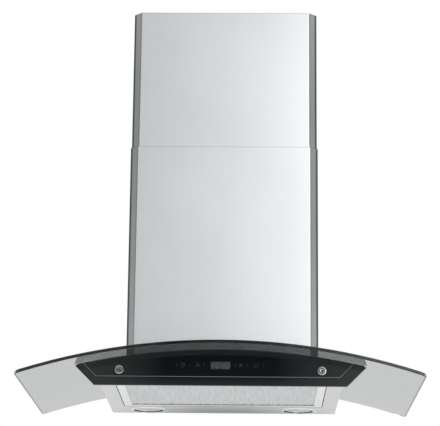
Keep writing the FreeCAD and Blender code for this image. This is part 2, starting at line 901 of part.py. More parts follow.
def filter_unit():
    """Aluminium frame with a slot that holds the mesh, its pivot pins and their plates."""
    half, thick = d("filter_half"), d("filter_thick")
    front, rear = -d("filter_front_depth"), -d("filter_rear_depth")
    border, front_border = d("filter_border"), d("filter_front_border")
    outer = block("filter_outer", both_ways(half), (front, rear), (0, thick))
    window = block(
        "filter_window", both_ways(half - border), (front + front_border, rear - border),
        (0, thick),
    )
    tuck = d("mesh_tuck")
    mesh_x = both_ways(half - border + tuck)
    mesh_y = (front + front_border - d("mesh_front_tuck"), rear - border + tuck)
    mesh_z = ((thick - d("mesh_thick")) / 2, (thick + d("mesh_thick")) / 2)
    slot = block("filter_slot", mesh_x, mesh_y, mesh_z)
    latch_half = d("latch_half")
    roof = thick - d("latch_roof")
    mouth = block(
        "latch_mouth", both_ways(latch_half),
        (front, front + d("latch_body_long") + d("latch_body_room")), (0, roof),
    )
    chamber = block(
        "latch_chamber", both_ways(latch_half),
        (front, front + front_border - d("latch_wall")), (d("latch_floor"), roof),
    )
    keep("filter_frame", cut("frame", outer, [window, slot, mouth, chamber]))
    keep("filter_mesh", block("mesh_pad", mesh_x, mesh_y, mesh_z))
    pins, plates = [], []
    y, z = -d("pivot_depth"), d("pivot_z")
    for side, name in ((-1, "left"), (1, "right")):
        start = half if side > 0 else -half - d("pin_long")
        pins.append(rod(f"pin_{name}", d("pin_radius"), (start, y, z), d("pin_long"), "x"))
        near = d("opening_half") + d("pivot_plate_gap")
        far = near + d("pivot_plate_thick")
        x = (near, far) if side > 0 else (-far, -near)
        plate_y = (y - d("pivot_plate_front"), y + d("pivot_plate_rear"))
        plate = block(f"plate_{name}", x, plate_y, (d("sheet"), z + d("pivot_plate_front")))
        seat = rod(
            f"seat_{name}", d("pin_radius") + d("pin_play"), (x[0], y, z),
            d("pivot_plate_thick"), "x",
        )
        plates.append(cut(f"pivot_{name}", plate, [seat]))
    keep("filter_pins", group("pin_set", pins))
    keep("filter_pivots", group("pivot_set", plates))


def filter_latch():
    """Sliding bolt with a finger lip, and the bent strip spring behind it."""
    front = -d("filter_front_depth")
    play = d("latch_play")
    half = d("latch_half") - play
    z = (d("latch_floor") + play, d("filter_thick") - d("latch_roof") - play)
    body = block("latch_body", both_ways(half), (front, front + d("latch_body_long")), z)
    tongue = block(
        "latch_tongue_block", both_ways(half * d("latch_tongue_share")),
        (front - d("latch_tongue"), front), z,
    )
    lip = block(
        "latch_lip", both_ways(half), (front, front + d("latch_lip_long")), (play, z[0])
    )
    keep("latch_slide", joined("latch", [body, tongue, lip]))
    wire = d("spring_wire")
    near = front + d("latch_body_long")
    far = front + d("filter_front_border") - d("latch_wall")
    spring = new_body("latch_spring")
    lean = half * d("spring_share")
    points = [
        (-lean, far - wire), (-lean, far), (0, near + wire), (lean, far), (lean, far - wire),
        (0, near),
    ]
    pad(spring, "XY_Plane", "strip_bend", points, d("spring_low"), d("spring_wide"))
    keep("latch_spring", spring)


# ---------------------------------------------------------------- duct covers


def cover_outline(half, front, rear):
    """U-shaped sheet with folded 45-degree corners, seen from above, open towards the wall."""
    sheet, leg = d("cover_sheet"), d("cover_chamfer")
    mitre = sheet * (math.sqrt(2) - 1)
    inner, inner_front = half - sheet, front - sheet
    outside = [
        (-half, -rear), (-half, leg - front), (leg - half, -front), (half - leg, -front),
        (half, leg - front), (half, -rear),
    ]
    side_end = leg - front + mitre
    front_end = half - leg - mitre
    inside = [
        (inner, -rear), (inner, side_end), (front_end, -inner_front), (-front_end, -inner_front),
        (-inner, side_end), (-inner, -rear),
    ]
    return outside + inside


def at_fold(edge):
    """True for the upright edges of the folds, inside and outside."""
    ends = [vertex.Point for vertex in edge.Vertexes]
    if len(ends) != 2 or edge.Length < DIMENSIONS["upper_long"] / 2:
        return False
    upright = abs(ends[0].x - ends[1].x) < SAME and abs(ends[0].y - ends[1].y) < SAME
    return upright and ends[0].y < -DIMENSIONS["lower_front_depth"] / 2


def lower_duct_cover():
    """Lower cover: stands on the glass, its foot cut to the arch."""
    body = new_body("lower_duct_cover")
    points = cover_outline(d("lower_half"), d("lower_front_depth"), 0)
    pad(body, "XY_Plane", "sleeve", points, 0, d("seam_z"))
    half = d("lower_half")
    foot, arc = under_arch(half, d("glass_thick") + d("glass_clear"))
    pocket(body, "XZ_Plane", "foot", foot, -PAST, d("lower_front_depth") + 2 * PAST, arc)
    dress(body, "Fillet", "folds", d("bend_radius"), at_fold)
    side_holes(body, cover_screw_places(), half)
    keep("lower_duct_cover", body)


def upper_duct_cover():
    """Upper cover: slides inside the lower one."""
    body = new_body("upper_duct_cover")
    half = d("lower_half") - d("upper_step")
    front = d("lower_front_depth") - d("upper_step")
    points = cover_outline(half, front, 1)
    start = d("top_z") - d("upper_long")
    pad(body, "XY_Plane", "sleeve", points, start, d("upper_long"))
    dress(body, "Fillet", "folds", d("bend_radius"), at_fold)
    place = [(-d("ceiling_tab_deep") / 2, (d("ceiling_low") + d("ceiling_high")) / 2)]
    side_holes(body, place, half)
    keep("upper_duct_cover", body)


def side_holes(body, places, half):
    """Screw holes through both sides of a cover, at (y, z) places."""
    radius = d("small_screw_radius") + d("small_screw_play")
    round_pocket(body, "YZ_Plane", "side_holes", places, radius, -half - PAST, 2 * (half + PAST))


def cover_screw_places():
    """(y, z) of the screws in each side of the lower cover."""
    z = (d("cover_bracket_low") + d("cover_bracket_high")) / 2
    depths = (d("cover_bracket_rear_depth"), d("cover_bracket_front_depth"))
    return [(-depth - d("cover_bracket_wide") / 2, z) for depth in depths]


def side_screw(name, side, face_x, y, z, long):
    """Round-headed screw driven inwards through a side wall whose outer face is at face_x."""
    head_low = face_x if side > 0 else -face_x - d("small_head_high")
    shank_low = face_x - long if side > 0 else -face_x
    small, big = d("small_head_face"), d("small_head_radius")
    radii = (big, small) if side > 0 else (small, big)
    head = cone(f"{name}_head", *radii, (head_low, y, z), d("small_head_high"), "x")
    shank = rod(f"{name}_shank", d("small_screw_radius"), (shank_low, y, z), long, "x")
    return joined(name, [head, shank])


def cover_brackets():
    """Four Z brackets from the blower box to the lower cover, and their screws."""
    brackets, screws = [], []
    thick = d("bracket_thick")
    low, high = d("cover_bracket_low"), d("cover_bracket_high")
    outer = d("lower_half") - d("cover_sheet")
    inner = d("blower_half")
    number = 0
    for side in (-1, 1):
        for y_centre, z in cover_screw_places():
            number += 1
            half_wide = d("cover_bracket_wide") / 2
            y = (y_centre - half_wide, y_centre + half_wide)

            def across(near, far):
                return (near, far) if side > 0 else (-far, -near)

            shelf = block(f"shelf_{number}", across(inner, outer), y, (low, low + thick))
            tab = block(f"tab_{number}", across(outer - thick, outer), y, (low, high))
            root = block(f"root_{number}", across(inner, inner + thick), y, (low, high))
            hole_start = across(outer - thick, outer)[0]
            hole = rod(
                f"tab_hole_{number}", d("small_screw_radius"), (hole_start, y_centre, z), thick, "x"
            )
            whole = joined(f"bracket_whole_{number}", [shelf, tab, root])
            brackets.append(cut(f"bracket_{number}", whole, [hole]))
            long = d("cover_screw_long")
            screws.append(
                side_screw(f"cover_screw_{number}", side, d("lower_half"), y_centre, z, long)
            )
    keep("cover_brackets", group("cover_bracket_set", brackets))
    keep("cover_screws", group("cover_screw_set", screws))


def ceiling_bracket():
    """Wall strip with two tabs that hold the top of the upper cover."""
    inner = d("lower_half") - d("upper_step") - d("cover_sheet")
    thick = d("bracket_thick")
    low, high = d("ceiling_low"), d("ceiling_high")
    strip = block("ceiling_strip", both_ways(inner), (-thick, 0), (low, high))
    tab_y = (-d("ceiling_tab_deep"), 0)
    tabs = [
        block("ceiling_tab_left", (-inner, thick - inner), tab_y, (low, high)),
        block("ceiling_tab_right", (inner - thick, inner), tab_y, (low, high)),
    ]
    z = (low + high) / 2
    holes = [
        rod(f"ceiling_hole_{name}", d("ceiling_hole_radius"),
            (side * d("ceiling_hole_x"), -thick, z), thick, "y")
        for side, name in ((-1, "left"), (1, "right"))
    ]
    y = -d("ceiling_tab_deep") / 2
    holes.append(
        rod("ceiling_tab_holes", d("small_screw_radius"), (-inner, y, z), 2 * inner, "x")
    )
    whole = joined("ceiling_whole", [strip] + tabs)
    keep("ceiling_bracket", cut("ceiling_bracket_cut", whole, holes))
    face = d("lower_half") - d("upper_step")
    # flush heads would stop the sleeve from sliding, so these are set from inside the tabs
    screws = []
    for side, name in ((-1, "left"), (1, "right")):
        inside, head_high = d("ceiling_screw_inside"), d("small_head_high")
        start = inner - inside if side > 0 else -face
        long = face - inner + inside
        shank = rod(f"ceiling_shank_{name}", d("small_screw_radius"), (start, y, z), long, "x")
        head_start = inner - thick - head_high if side > 0 else -inner + thick
        head = rod(
            f"ceiling_head_{name}", d("small_head_radius"), (head_start, y, z), head_high, "x"
        )
        screws.append(joined(f"ceiling_screw_{name}", [shank, head]))
    keep("ceiling_screws", group("ceiling_screw_set", screws))


# ---------------------------------------------------------------- blower


def blower_box():
    """Sheet steel box on the top plate, open below, with a round outlet on top."""
    body = new_body("blower_box")
    half, sheet = d("blower_half"), d("sheet")
    front, rear, top = d("blower_front_depth"), d("blower_rear_depth"), d("blower_top")
    pad(body, "XY_Plane", "box", rectangle(both_ways(half), (-front, -rear)), 0, top)
    inside = rectangle(both_ways(half - sheet), (-front + sheet, -rear - sheet))
    pocket(body, "XY_Plane", "box_inside", inside, 0, top - sheet)
    foot, arc = under_arch(half, PLATE_TOP)
    pocket(body, "XZ_Plane", "box_foot", foot, 0, front + PAST, arc)
    outlet = [(0, -d("outlet_depth"))]
    outlet_radius = d("spigot_radius") - d("spigot_wall")
    round_pocket(body, "XY_Plane", "outlet", outlet, outlet_radius, top - sheet, sheet)
    keep("blower_box", body)


def scroll_outline(wall):
    """Spiral of three quarter arcs that grow by even steps, then straight up to the outlet."""
    y, z = -d("fan_depth"), d("fan_z")
    small, step = d("scroll_small"), d("scroll_growth")
    top = d("blower_top") - d("sheet")
    radii = [small + wall, small + step + wall, small + 2 * step + wall]
    back = d("tongue_back") + wall
    tongue_z = (radii[0].squared() - back.squared()).root()
    points = [
        (y - back, top),
        (y - back, z + tongue_z),
        (y - radii[0], z),
        (y + step, z - radii[1]),
        (y + step + radii[2], z + step),
        (y + step + radii[2], top),
    ]
    ways = ((-1, 1), (-1, -1), (1, -1))
    arcs = {edge: (radius, way) for edge, radius, way in zip((1, 2, 3), radii, ways)}
    return points, arcs


def blower_scroll():
    """Volute: a spiral wall that is open upwards, between two flat sides with an inlet each."""
    half, wall = d("scroll_half"), d("scroll_wall")
    band = new_body("blower_scroll")
    points, arcs = scroll_outline(wall)
    pad(band, "YZ_Plane", "scroll", points, -half, 2 * half, arcs)
    inner_points, inner_arcs = scroll_outline(sized(0))
    pocket(band, "YZ_Plane", "scroll_inside", inner_points, -half, 2 * half, inner_arcs)
    keep("blower_scroll", band)
    centre = [(-d("fan_depth"), d("fan_z"))]
    for name, start in (("left", -half - wall), ("right", half)):
        plate = new_body(f"scroll_side_{name}")
        pad(plate, "YZ_Plane", f"side_{name}", points, start, wall, arcs)
        round_pocket(
            plate, "YZ_Plane", f"inlet_{name}", centre, d("inlet_radius"), start, wall
        )
        keep(f"scroll_side_{name}", plate)


def inlet_rings():
    """A flared ring on each side of the scroll that guides the air in."""
    y, z = -d("fan_depth"), d("fan_z")
    face = d("scroll_half") + d("scroll_wall")
    rings = []
    for side, name in ((-1, "left"), (1, "right")):
        foot = d("inlet_radius") + d("inlet_ring_foot")
        lip = d("inlet_radius") + d("inlet_ring_lip")
        radii = (foot, lip) if side > 0 else (lip, foot)
        high = d("inlet_ring_high")
        start = face if side > 0 else -face - high
        outer = cone(f"inlet_outer_{name}", *radii, (start, y, z), high, "x")
        bore = rod(f"inlet_bore_{name}", d("inlet_radius"), (start, y, z), high, "x")
        rings.append(cut(f"inlet_ring_{name}", outer, [bore]))
    keep("inlet_rings", group("inlet_set", rings))


def impeller():
    """Drum wheel: a middle plate with its hub, forward-curved blades and two end rings."""
    y, z = -d("fan_depth"), d("fan_z")
    half, plate = d("wheel_half"), d("wheel_plate")
    outer, inner = d("wheel_radius"), d("wheel_inner_radius")
    blades = [wheel_blade(number) for number in range(DIMENSIONS["blade_count"])]
    keep("impeller_blades", group("wheel_blades", blades))
    rings = [
        tube(f"wheel_ring_{name}", outer, inner, (start, y, z), plate, "x")
        for name, start in (("left", -half), ("right", half - plate))
    ]
    keep("impeller_rings", group("wheel_rings", rings))
    middle = rod("wheel_disc", inner + d("wheel_plate_lap"), (-plate / 2, y, z), plate, "x")
    slotted = cut("wheel_slotted_disc", middle, blades)
    hub = rod("wheel_hub", d("hub_radius"), (-d("hub_half"), y, z), 2 * d("hub_half"), "x")
    bore = rod("wheel_bore", d("shaft_radius"), (-d("hub_half"), y, z), 2 * d("hub_half"), "x")
    keep("impeller", cut("wheel", joined("wheel_whole", [slotted, hub]), [bore]))
    shaft_start = d("shaft_inset") - d("motor_out")
    shaft_end = d("hub_half") + d("shaft_tip")
    shaft = rod("shaft", d("shaft_radius"), (shaft_start, y, z), shaft_end - shaft_start, "x")
    keep("motor_shaft", shaft)


def wheel_blade(number):
    """One blade: a curved strip from the inner to the outer radius, from ring to ring."""
    inner = DIMENSIONS["wheel_inner_radius"]
    outer = DIMENSIONS["wheel_radius"] - DIMENSIONS["blade_inset"]
    half = DIMENSIONS["wheel_half"] - DIMENSIONS["wheel_plate"]
    thick = DIMENSIONS["blade_thick"]
    centre = Vector(0, -DIMENSIONS["fan_depth"], DIMENSIONS["fan_z"])
    lean = math.radians(DIMENSIONS["blade_lean"])

    def polar(radius, angle):
        return centre + Vector(-half, radius * math.cos(angle), radius * math.sin(angle))

    turn = 2 * math.pi * number / DIMENSIONS["blade_count"]
    start, end = polar(inner, turn), polar(outer, turn + lean)
    across = (end - start).cross(Vector(1, 0, 0)).normalize()
    middle = (start + end) * 0.5 + across * DIMENSIONS["blade_bow"]
    near = Part.Arc(start, middle, end).toShape()
    shift = across * thick
    far = Part.Arc(start + shift, middle + shift, end + shift).toShape()
    ends = [Part.makeLine(end, end + shift), Part.makeLine(start + shift, start)]
    face = Part.Face(Part.Wire(Part.__sortEdges__([near, far] + ends)))
    blade = doc.addObject("Part::Feature", f"blade_{number}")
    blade.Shape = face.extrude(Vector(2 * half, 0, 0))
    return blade


def fan_motor():
    """Motor with a bore for its shaft, and the three-armed bracket that holds it."""
    y, z = -d("fan_depth"), d("fan_z")
    out, into = d("motor_out"), d("motor_in")
    radius, end = d("motor_radius"), d("motor_end_long")
    narrow = radius - d("motor_end_taper")
    can = rod("motor_can", radius, (end - out, y, z), out - into - 2 * end, "x")
    ends = [
        cone("motor_end_out", narrow, radius, (-out, y, z), end, "x"),
        cone("motor_end_in", radius, narrow, (-into - end, y, z), end, "x"),
    ]
    bore = rod("motor_bore", d("shaft_radius") + d("shaft_play"), (end - out, y, z), out, "x")
    keep("fan_motor", cut("motor", joined("motor_whole", [can] + ends), [bore]))
    face = -d("scroll_half") - d("scroll_wall")
    thick = d("bracket_thick")
    stand, arm_half = d("motor_stand"), d("motor_arm_half")
    near = face - stand
    band = rod("motor_band", radius + d("motor_band_wide"), (near - thick, y, z), thick, "x")
    foot_z = d("scroll_small") - d("motor_foot_in")
    arms = []
    for number in range(3):
        arm = block(
            f"motor_arm_{number}", (near - thick, near), both_ways(arm_half),
            (radius, foot_z + arm_half),
        )
        arms.append(spun(arm, f"arm_spun_{number}", 120 * number))
        foot = rod(f"motor_foot_{number}", d("motor_foot_radius"), (near, 0, foot_z), stand, "x")
        arms.append(spun(foot, f"foot_spun_{number}", 120 * number))
    seat = rod("motor_seat", radius + d("shaft_play"), (near - thick, y, z), thick, "x")
    keep("motor_bracket", cut("motor_holder", joined("motor_arms", [band] + arms), [seat]))


def spun(thing, name, degrees):
    """A piece drawn about the origin, turned about X and moved to the fan's axis."""
    holder = doc.addObject("Part::Compound", name)
    holder.Links = [thing]
    holder.Placement = FreeCAD.Placement(Vector(), FreeCAD.Rotation(Vector(1, 0, 0), degrees))
    bind_place(holder, 0, -d("fan_depth"), d("fan_z"))
    return holder


# ---------------------------------------------------------------- outlet and flaps


def exhaust_collar():
    """Spigot for round duct, with a ledge that the flaps close on, and the ring round its foot."""
    y = -d("outlet_depth")
    base = d("blower_top")
    radius, wall = d("spigot_radius"), d("spigot_wall")
    foot_radius = d("spigot_foot_radius")
    ring = tube("collar_ring", d("ring_radius"), foot_radius, (0, y, base), d("ring_thick"))
    keep("exhaust_collar_ring", ring)
    foot = rod("spigot_foot", foot_radius, (0, y, base), d("spigot_foot_high"))
    long_pipe = rod("spigot_long_pipe", radius, (0, y, base), d("spigot_top") - base)
    pipe = joined("spigot_pipe", [foot, long_pipe])
    ledge = d("ledge_z")
    lower = rod("spigot_lower", radius - wall, (0, y, base), ledge - d("ledge_thick") - base)
    throat = rod("spigot_throat", radius - wall - d("ledge_reach"), (0, y, base), ledge - base)
    upper = rod("spigot_upper", radius - wall, (0, y, ledge), d("spigot_top") - ledge)
    keep("exhaust_collar", cut("spigot", pipe, [lower, throat, upper]))
    pins = []
    corner_x = d("flap_pin_x") + d("flap_pin_radius") + d("flap_pin_clear")
    reach = ((radius - wall).squared() - corner_x.squared()).root()
    pin_z = ledge + d("flap_knuckle_radius") + d("flap_knuckle_clear")
    for side, name in ((-1, "left"), (1, "right")):
        x = side * d("flap_pin_x")
        pins.append(
            rod(f"flap_pin_{name}", d("flap_pin_radius"), (x, y - reach, pin_z), 2 * reach, "y")
        )
        keep(f"damper_{name}", damper_flap(side, name, pin_z))
    keep("damper_pins", group("flap_pin_set", pins))


def damper_flap(side, name, pin_z):
    """Half-round flap with a knuckle along its straight edge."""
    y = -d("outlet_depth")
    x = side * d("flap_pin_x")
    low = d("ledge_z") + d("flap_clear")
    disc = rod(f"flap_disc_{name}", d("flap_radius"), (0, y, low), d("flap_thick"))
    reach = d("flap_radius") + PAST
    keep_x = (d("flap_pin_x"), reach) if side > 0 else (-reach, -d("flap_pin_x"))
    side_box = block(f"flap_side_{name}", keep_x, (y - reach, y + reach), (low, low + PAST))
    plate = doc.addObject("Part::Common", f"flap_plate_{name}")
    plate.Base, plate.Tool = disc, side_box
    # short of the collar's wall, so that the knuckle's corners clear it as it turns
    long = d("flap_radius") - d("flap_knuckle_in")
    knuckle = rod(
        f"flap_knuckle_{name}", d("flap_knuckle_radius"), (x, y - long, pin_z), 2 * long, "y"
    )
    bore = rod(
        f"flap_bore_{name}", d("flap_pin_radius") + d("shaft_play"), (x, y - reach, pin_z),
        2 * reach, "y",
    )
    return cut(f"flap_{name}", joined(f"flap_whole_{name}", [plate, knuckle]), [bore])


# ---------------------------------------------------------------- electrics and wall bracket


def case_y():
    """Front and rear of everything on the sides of the blower box, and their middle."""
    front, rear = -d("case_front_depth"), -d("case_rear_depth")
    return front, rear, (front + rear) / 2


def supply_box():
    """Box on the right side, with its lid and a four-way terminal block."""
    near = d("blower_half")
    far = near + d("case_out")
    front, rear, middle = case_y()
    low, high, wall = d("case_low"), d("case_high"), d("case_wall")
    outer = block("case_outer", (near, far - wall), (front, rear), (low, high))
    inside = block(
        "case_inside", (near + wall, far - wall), (front + wall, rear - wall),
        (low + wall, high - wall),
    )
    centre = near + d("case_out") / 2
    hole = rod("case_gland_hole", d("gland_neck_radius"), (centre, middle, high - wall), wall)
    keep("electrical_box", cut("case", outer, [inside, hole]))
    keep("electrical_box_lid", block("case_lid", (far - wall, far), (front, rear), (low, high)))
    start = near + wall
    strip_low = low + d("terminal_low")
    strip_high = strip_low + d("terminal_high")
    strip = block(
        "terminals", (start, start + d("terminal_out")),
        (middle - d("terminal_half"), middle + d("terminal_half")), (strip_low, strip_high),
    )
    floor = d("terminal_way_floor")
    ways = [
        rod(f"terminal_way_{number}", d("terminal_way_radius"),
            (start + floor, middle + place * d("terminal_pitch"), (strip_low + strip_high) / 2),
            d("terminal_out") - floor, "x")
        for number, place in enumerate((-1.5, -0.5, 0.5, 1.5))
    ]
    keep("terminal_block", cut("terminal_strip", strip, ways))


def cable_gland():
    """Gland on top of the supply box, with a bore for the mains lead."""
    x = d("blower_half") + d("case_out") / 2
    y = case_y()[2]
    high = d("case_high")
    nut_high, neck_radius = d("gland_nut_high"), d("gland_neck_radius")
    nut = doc.addObject("Part::Prism", "gland_nut")
    nut.Polygon = 6
    bind(nut, "Circumradius", d("gland_nut_radius"))
    bind(nut, "Height", nut_high)
    bind_place(nut, x, y, high)
    dome = cone(
        "gland_dome", d("gland_radius"), neck_radius, (x, y, high + nut_high),
        d("gland_high") - nut_high,
    )
    inside = d("case_wall") + d("gland_inside")
    neck = rod("gland_neck", neck_radius, (x, y, high - inside), inside)
    bore = rod(
        "gland_bore_rod", d("gland_bore"), (x, y, high - inside), d("gland_high") + inside
    )
    keep("cable_gland", cut("gland", joined("gland_whole", [nut, dome, neck]), [bore]))


def lamp_driver():
    """Grooved case on the left side of the blower box."""
    near = -d("blower_half")
    far = near - d("driver_out")
    front, rear, _ = case_y()
    z = (d("driver_low"), d("driver_high"))
    grooves = []
    for number in range(DIMENSIONS["driver_groove_count"]):
        start = front + d("driver_groove_start") + number * d("driver_groove_pitch")
        y = (start, start + d("driver_groove_wide"))
        grooves.append(block(f"driver_groove_{number}", (far, far + d("driver_groove_deep")), y, z))
    case = block("driver", (far, near), (front, rear), z)
    keep("lamp_driver", cut("driver_case", case, grooves))


def fan_capacitor():
    """Capacitor with two tabs, held to the left side of the blower box by a clip."""
    near = -d("blower_half")
    radius = d("capacitor_radius")
    x = near - d("capacitor_gap") - radius
    y = case_y()[2]
    low, high = d("capacitor_low"), d("capacitor_high")
    can = rod("capacitor_can", radius, (x, y, low), high - low)
    thick, wide = d("capacitor_tab_thick"), d("capacitor_tab_wide")
    tabs = [
        block(f"capacitor_tab_{number}", (x - thick / 2, x + thick / 2), (start, start + wide),
              (high, high + d("capacitor_tab_high")))
        for number, start in enumerate((y - wide * 1.5, y + wide / 2))
    ]
    keep("fan_capacitor", joined("capacitor", [can] + tabs))
    clip_low, clip_long = d("clip_low"), d("clip_high") - d("clip_low")
    half = d("clip_half")
    arm = block(
        "clip_block", (x - d("clip_reach"), near), (y - half, y + half), (clip_low, d("clip_high"))
    )
    band = rod("clip_band", radius + d("clip_wall"), (x, y, clip_low), clip_long)
    hole = rod("clip_hole", radius, (x, y, clip_low), clip_long)
    keep("capacitor_clip", cut("clip", joined("clip_whole", [arm, band]), [hole]))


def wall_bracket():
    """Hanging plate behind the blower box, with a wall screw hole beyond each side of it."""
    half, thick = d("bracket_half"), d("bracket_thick")
    z = (d("bracket_low"), d("bracket_high"))
    plate = block("hang_plate", both_ways(half), (-thick, 0), z)
    web_x = d("bracket_web_x")
    webs = [
        block(f"hang_web_{name}", (low, low + thick), (-d("blower_rear_depth"), -thick), z)
        for name, low in (("left", -web_x), ("right", web_x - thick))
    ]
    middle = (z[0] + z[1]) / 2
    holes = [
        rod(f"hang_hole_{name}", d("bracket_hole_radius"),
            (side * d("bracket_hole_x"), -thick, middle), thick, "y")
        for side, name in ((-1, "left"), (1, "right"))
    ]
    keep("wall_bracket", cut("hanger", joined("hang_whole", [plate] + webs), holes))


# ---------------------------------------------------------------- build, check and write


def build_all():
    fill_sheet()
    hood_body()
    top_plate()
    glass_canopy()
    glass_gasket()
    glass_bolts()
    front_glass_panel()
    panel_fixings()
    control_unit()
    lamp(-1, "left")
    lamp(1, "right")
    filter_unit()
    filter_latch()
    lower_duct_cover()
    upper_duct_cover()
    cover_brackets()
    ceiling_bracket()
    blower_box()
    blower_scroll()
    inlet_rings()
    impeller()
    fan_motor()
    exhaust_collar()
    supply_box()
    cable_gland()
    lamp_driver()
    fan_capacitor()
    wall_bracket()
    doc.recompute()


def check_all():
    """Stop on any failed object or bad solid, so that nothing wrong is written."""
    for thing in doc.Objects:
        if "Invalid" in thing.State or "Error" in thing.State:
            raise ValueError(f"{thing.Name} failed: {thing.State}")
    for node, thing in NODES.items():
        if thing.Shape.isNull() or not thing.Shape.isValid() or not thing.Shape.Solids:
            raise ValueError(f"{node} is not a valid solid")


def write_all():
    os.makedirs("parts", exist_ok=True)
    for node, thing in NODES.items():
        thing.Shape.exportStep(os.path.join("parts", f"{node}.step"))
        solids = len(thing.Shape.Solids)
        print(f"{node}: {solids} solid(s), {thing.Shape.Volume / 1000:.1f} cm3")


build_all()
check_all()
write_all()
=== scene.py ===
"""Looks of a curved glass range hood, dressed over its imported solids.

Metres, in the solids' own frame: the wall is y = 0, the room is on the -y side, and z is up.
"""

import json
import math
from contextlib import contextmanager

import bmesh
import bpy
from mathutils import Matrix, Vector

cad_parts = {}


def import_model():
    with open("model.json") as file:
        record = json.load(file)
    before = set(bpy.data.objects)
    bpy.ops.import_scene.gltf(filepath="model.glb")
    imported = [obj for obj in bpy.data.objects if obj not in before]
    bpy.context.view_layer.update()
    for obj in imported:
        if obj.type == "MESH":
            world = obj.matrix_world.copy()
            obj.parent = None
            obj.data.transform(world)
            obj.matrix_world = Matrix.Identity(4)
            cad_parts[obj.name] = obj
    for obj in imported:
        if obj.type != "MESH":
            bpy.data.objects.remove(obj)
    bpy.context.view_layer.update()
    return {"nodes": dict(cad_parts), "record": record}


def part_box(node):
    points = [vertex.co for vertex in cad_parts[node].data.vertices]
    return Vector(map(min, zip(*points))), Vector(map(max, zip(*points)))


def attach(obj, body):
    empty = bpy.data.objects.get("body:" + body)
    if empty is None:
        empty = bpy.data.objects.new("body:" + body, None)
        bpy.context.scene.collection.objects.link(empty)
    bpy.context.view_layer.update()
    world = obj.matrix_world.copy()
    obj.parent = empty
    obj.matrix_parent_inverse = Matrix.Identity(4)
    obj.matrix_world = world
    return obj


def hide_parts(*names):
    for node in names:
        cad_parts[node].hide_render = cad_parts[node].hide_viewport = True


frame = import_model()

MM = 0.001

# The camera that took the photograph, fitted to the hood's corners.
CAMERA_PLACE = (0.0613, -3.9227, -0.5980)
CAMERA_TURN = 0.01875
CAMERA_TILT = 0.2572
CAMERA_ROLL = 0.01063
PICTURE_WIDTH = 440
FOCAL_LENGTH_PIXELS = 1884.1
SENSOR_WIDTH = 36.0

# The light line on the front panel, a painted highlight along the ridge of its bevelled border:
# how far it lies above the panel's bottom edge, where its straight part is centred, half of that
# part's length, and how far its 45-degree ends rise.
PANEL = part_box("front_glass_panel")
PANEL_FRONT = PANEL[0].y
LINE_Z = PANEL[0].z + 17 * MM
LINE_MIDDLE = -5 * MM
LINE_HALF = 228.5 * MM
LINE_END_RISE = 23.5 * MM
LINE_WIDTH = 0.9 * MM

# Thickness of all print on the panel, and the height at which the key signs are centred.
PRINT_THICK = 0.05 * MM
KEY_Z = 24.4 * MM

# Radius of the panel caps, and of their ring groove and their socket.
CAP_RADIUS = 8 * MM
CAP_GROOVE_RADIUS = 5.3 * MM
CAP_SOCKET_RADIUS = 2.1 * MM

# Leg of the 45-degree folds at the front corners of both duct covers.
FOLD_LEG = 16 * MM

# Thickness of the arched glass canopy.
GLASS_THICK = 6 * MM


# ------------------------------------------------------------------ shader nodes


def node(tree, kind, values=None, **settings):
    """A new shader node. values go to its inputs: numbers, or other nodes' outputs to link."""
    made = tree.nodes.new("ShaderNode" + kind)
    for name, setting in settings.items():
        setattr(made, name, setting)
    for name, value in (values or {}).items():
        if isinstance(value, bpy.types.NodeSocket):
            tree.links.new(value, made.inputs[name])
        else:
            made.inputs[name].default_value = value
    return made


def maths(tree, operation, first, second=0.0):
    return node(tree, "Math", {0: first, 1: second}, operation=operation).outputs[0]


def ranged(tree, value, low, high, start=0.0, end=1.0):
    """value taken from start-end to low-high, and held at the ends."""
    values = {"Value": value, "From Min": start, "From Max": end, "To Min": low, "To Max": high}
    return node(tree, "MapRange", values).outputs["Result"]


def mixed(tree, mask, first, second):
    """first where the mask is 0, second where it is 1."""
    made = node(tree, "Mix", {0: mask, 6: first, 7: second}, data_type="RGBA")
    return made.outputs[2]


def place_of(tree):
    return node(tree, "TexCoord").outputs["Object"]


def stretched(tree, scale):
    """Object coordinates, each axis times its own scale."""
    return node(tree, "VectorMath", {0: place_of(tree), 1: scale}, operation="MULTIPLY").outputs[0]


def noise(tree, where, scale, detail=2.0, roughness=0.5):
    values = {"Vector": where, "Scale": scale, "Detail": detail, "Roughness": roughness}
    return node(tree, "TexNoise", values).outputs["Fac"]


def split(tree, vector):
    return node(tree, "SeparateXYZ", {0: vector}).outputs


# ------------------------------------------------------------------ shared effects


def new_group(name, inputs, outputs):
    """An empty node group; inputs are (name, socket kind, value) and outputs (name, kind)."""
    group = bpy.data.node_groups.new(name, "ShaderNodeTree")
    for label, kind, value in inputs:
        socket = group.interface.new_socket(label, in_out="INPUT", socket_type="NodeSocket" + kind)
        socket.default_value = value
    for label, kind in outputs:
        group.interface.new_socket(label, in_out="OUTPUT", socket_type="NodeSocket" + kind)
    return group, group.nodes.new("NodeGroupInput").outputs, group.nodes.new("NodeGroupOutput")


def put_out(group, end, **values):
    for label, value in values.items():
        group.links.new(value, end.inputs[label])


def brushed_grain():
    """Straight streaks of a brushed sheet. Stretch: streaks per metre along each axis."""
    group, given, end = new_group(
        "Brushed grain",
        [("Stretch", "Vector", (1.0, 1.0, 1.0))],
        [("Streaks", "Float"), ("Bands", "Float")],
    )
    scaled = {0: place_of(group), 1: given["Stretch"]}
    fine_place = node(group, "VectorMath", scaled, operation="MULTIPLY").outputs[0]
    fine = noise(group, fine_place, 1.0, 3.0, 0.7)
    broad = noise(group, fine_place, 0.045, 2.0, 0.6)
    put_out(group, end, Streaks=fine, Bands=broad)
    return group


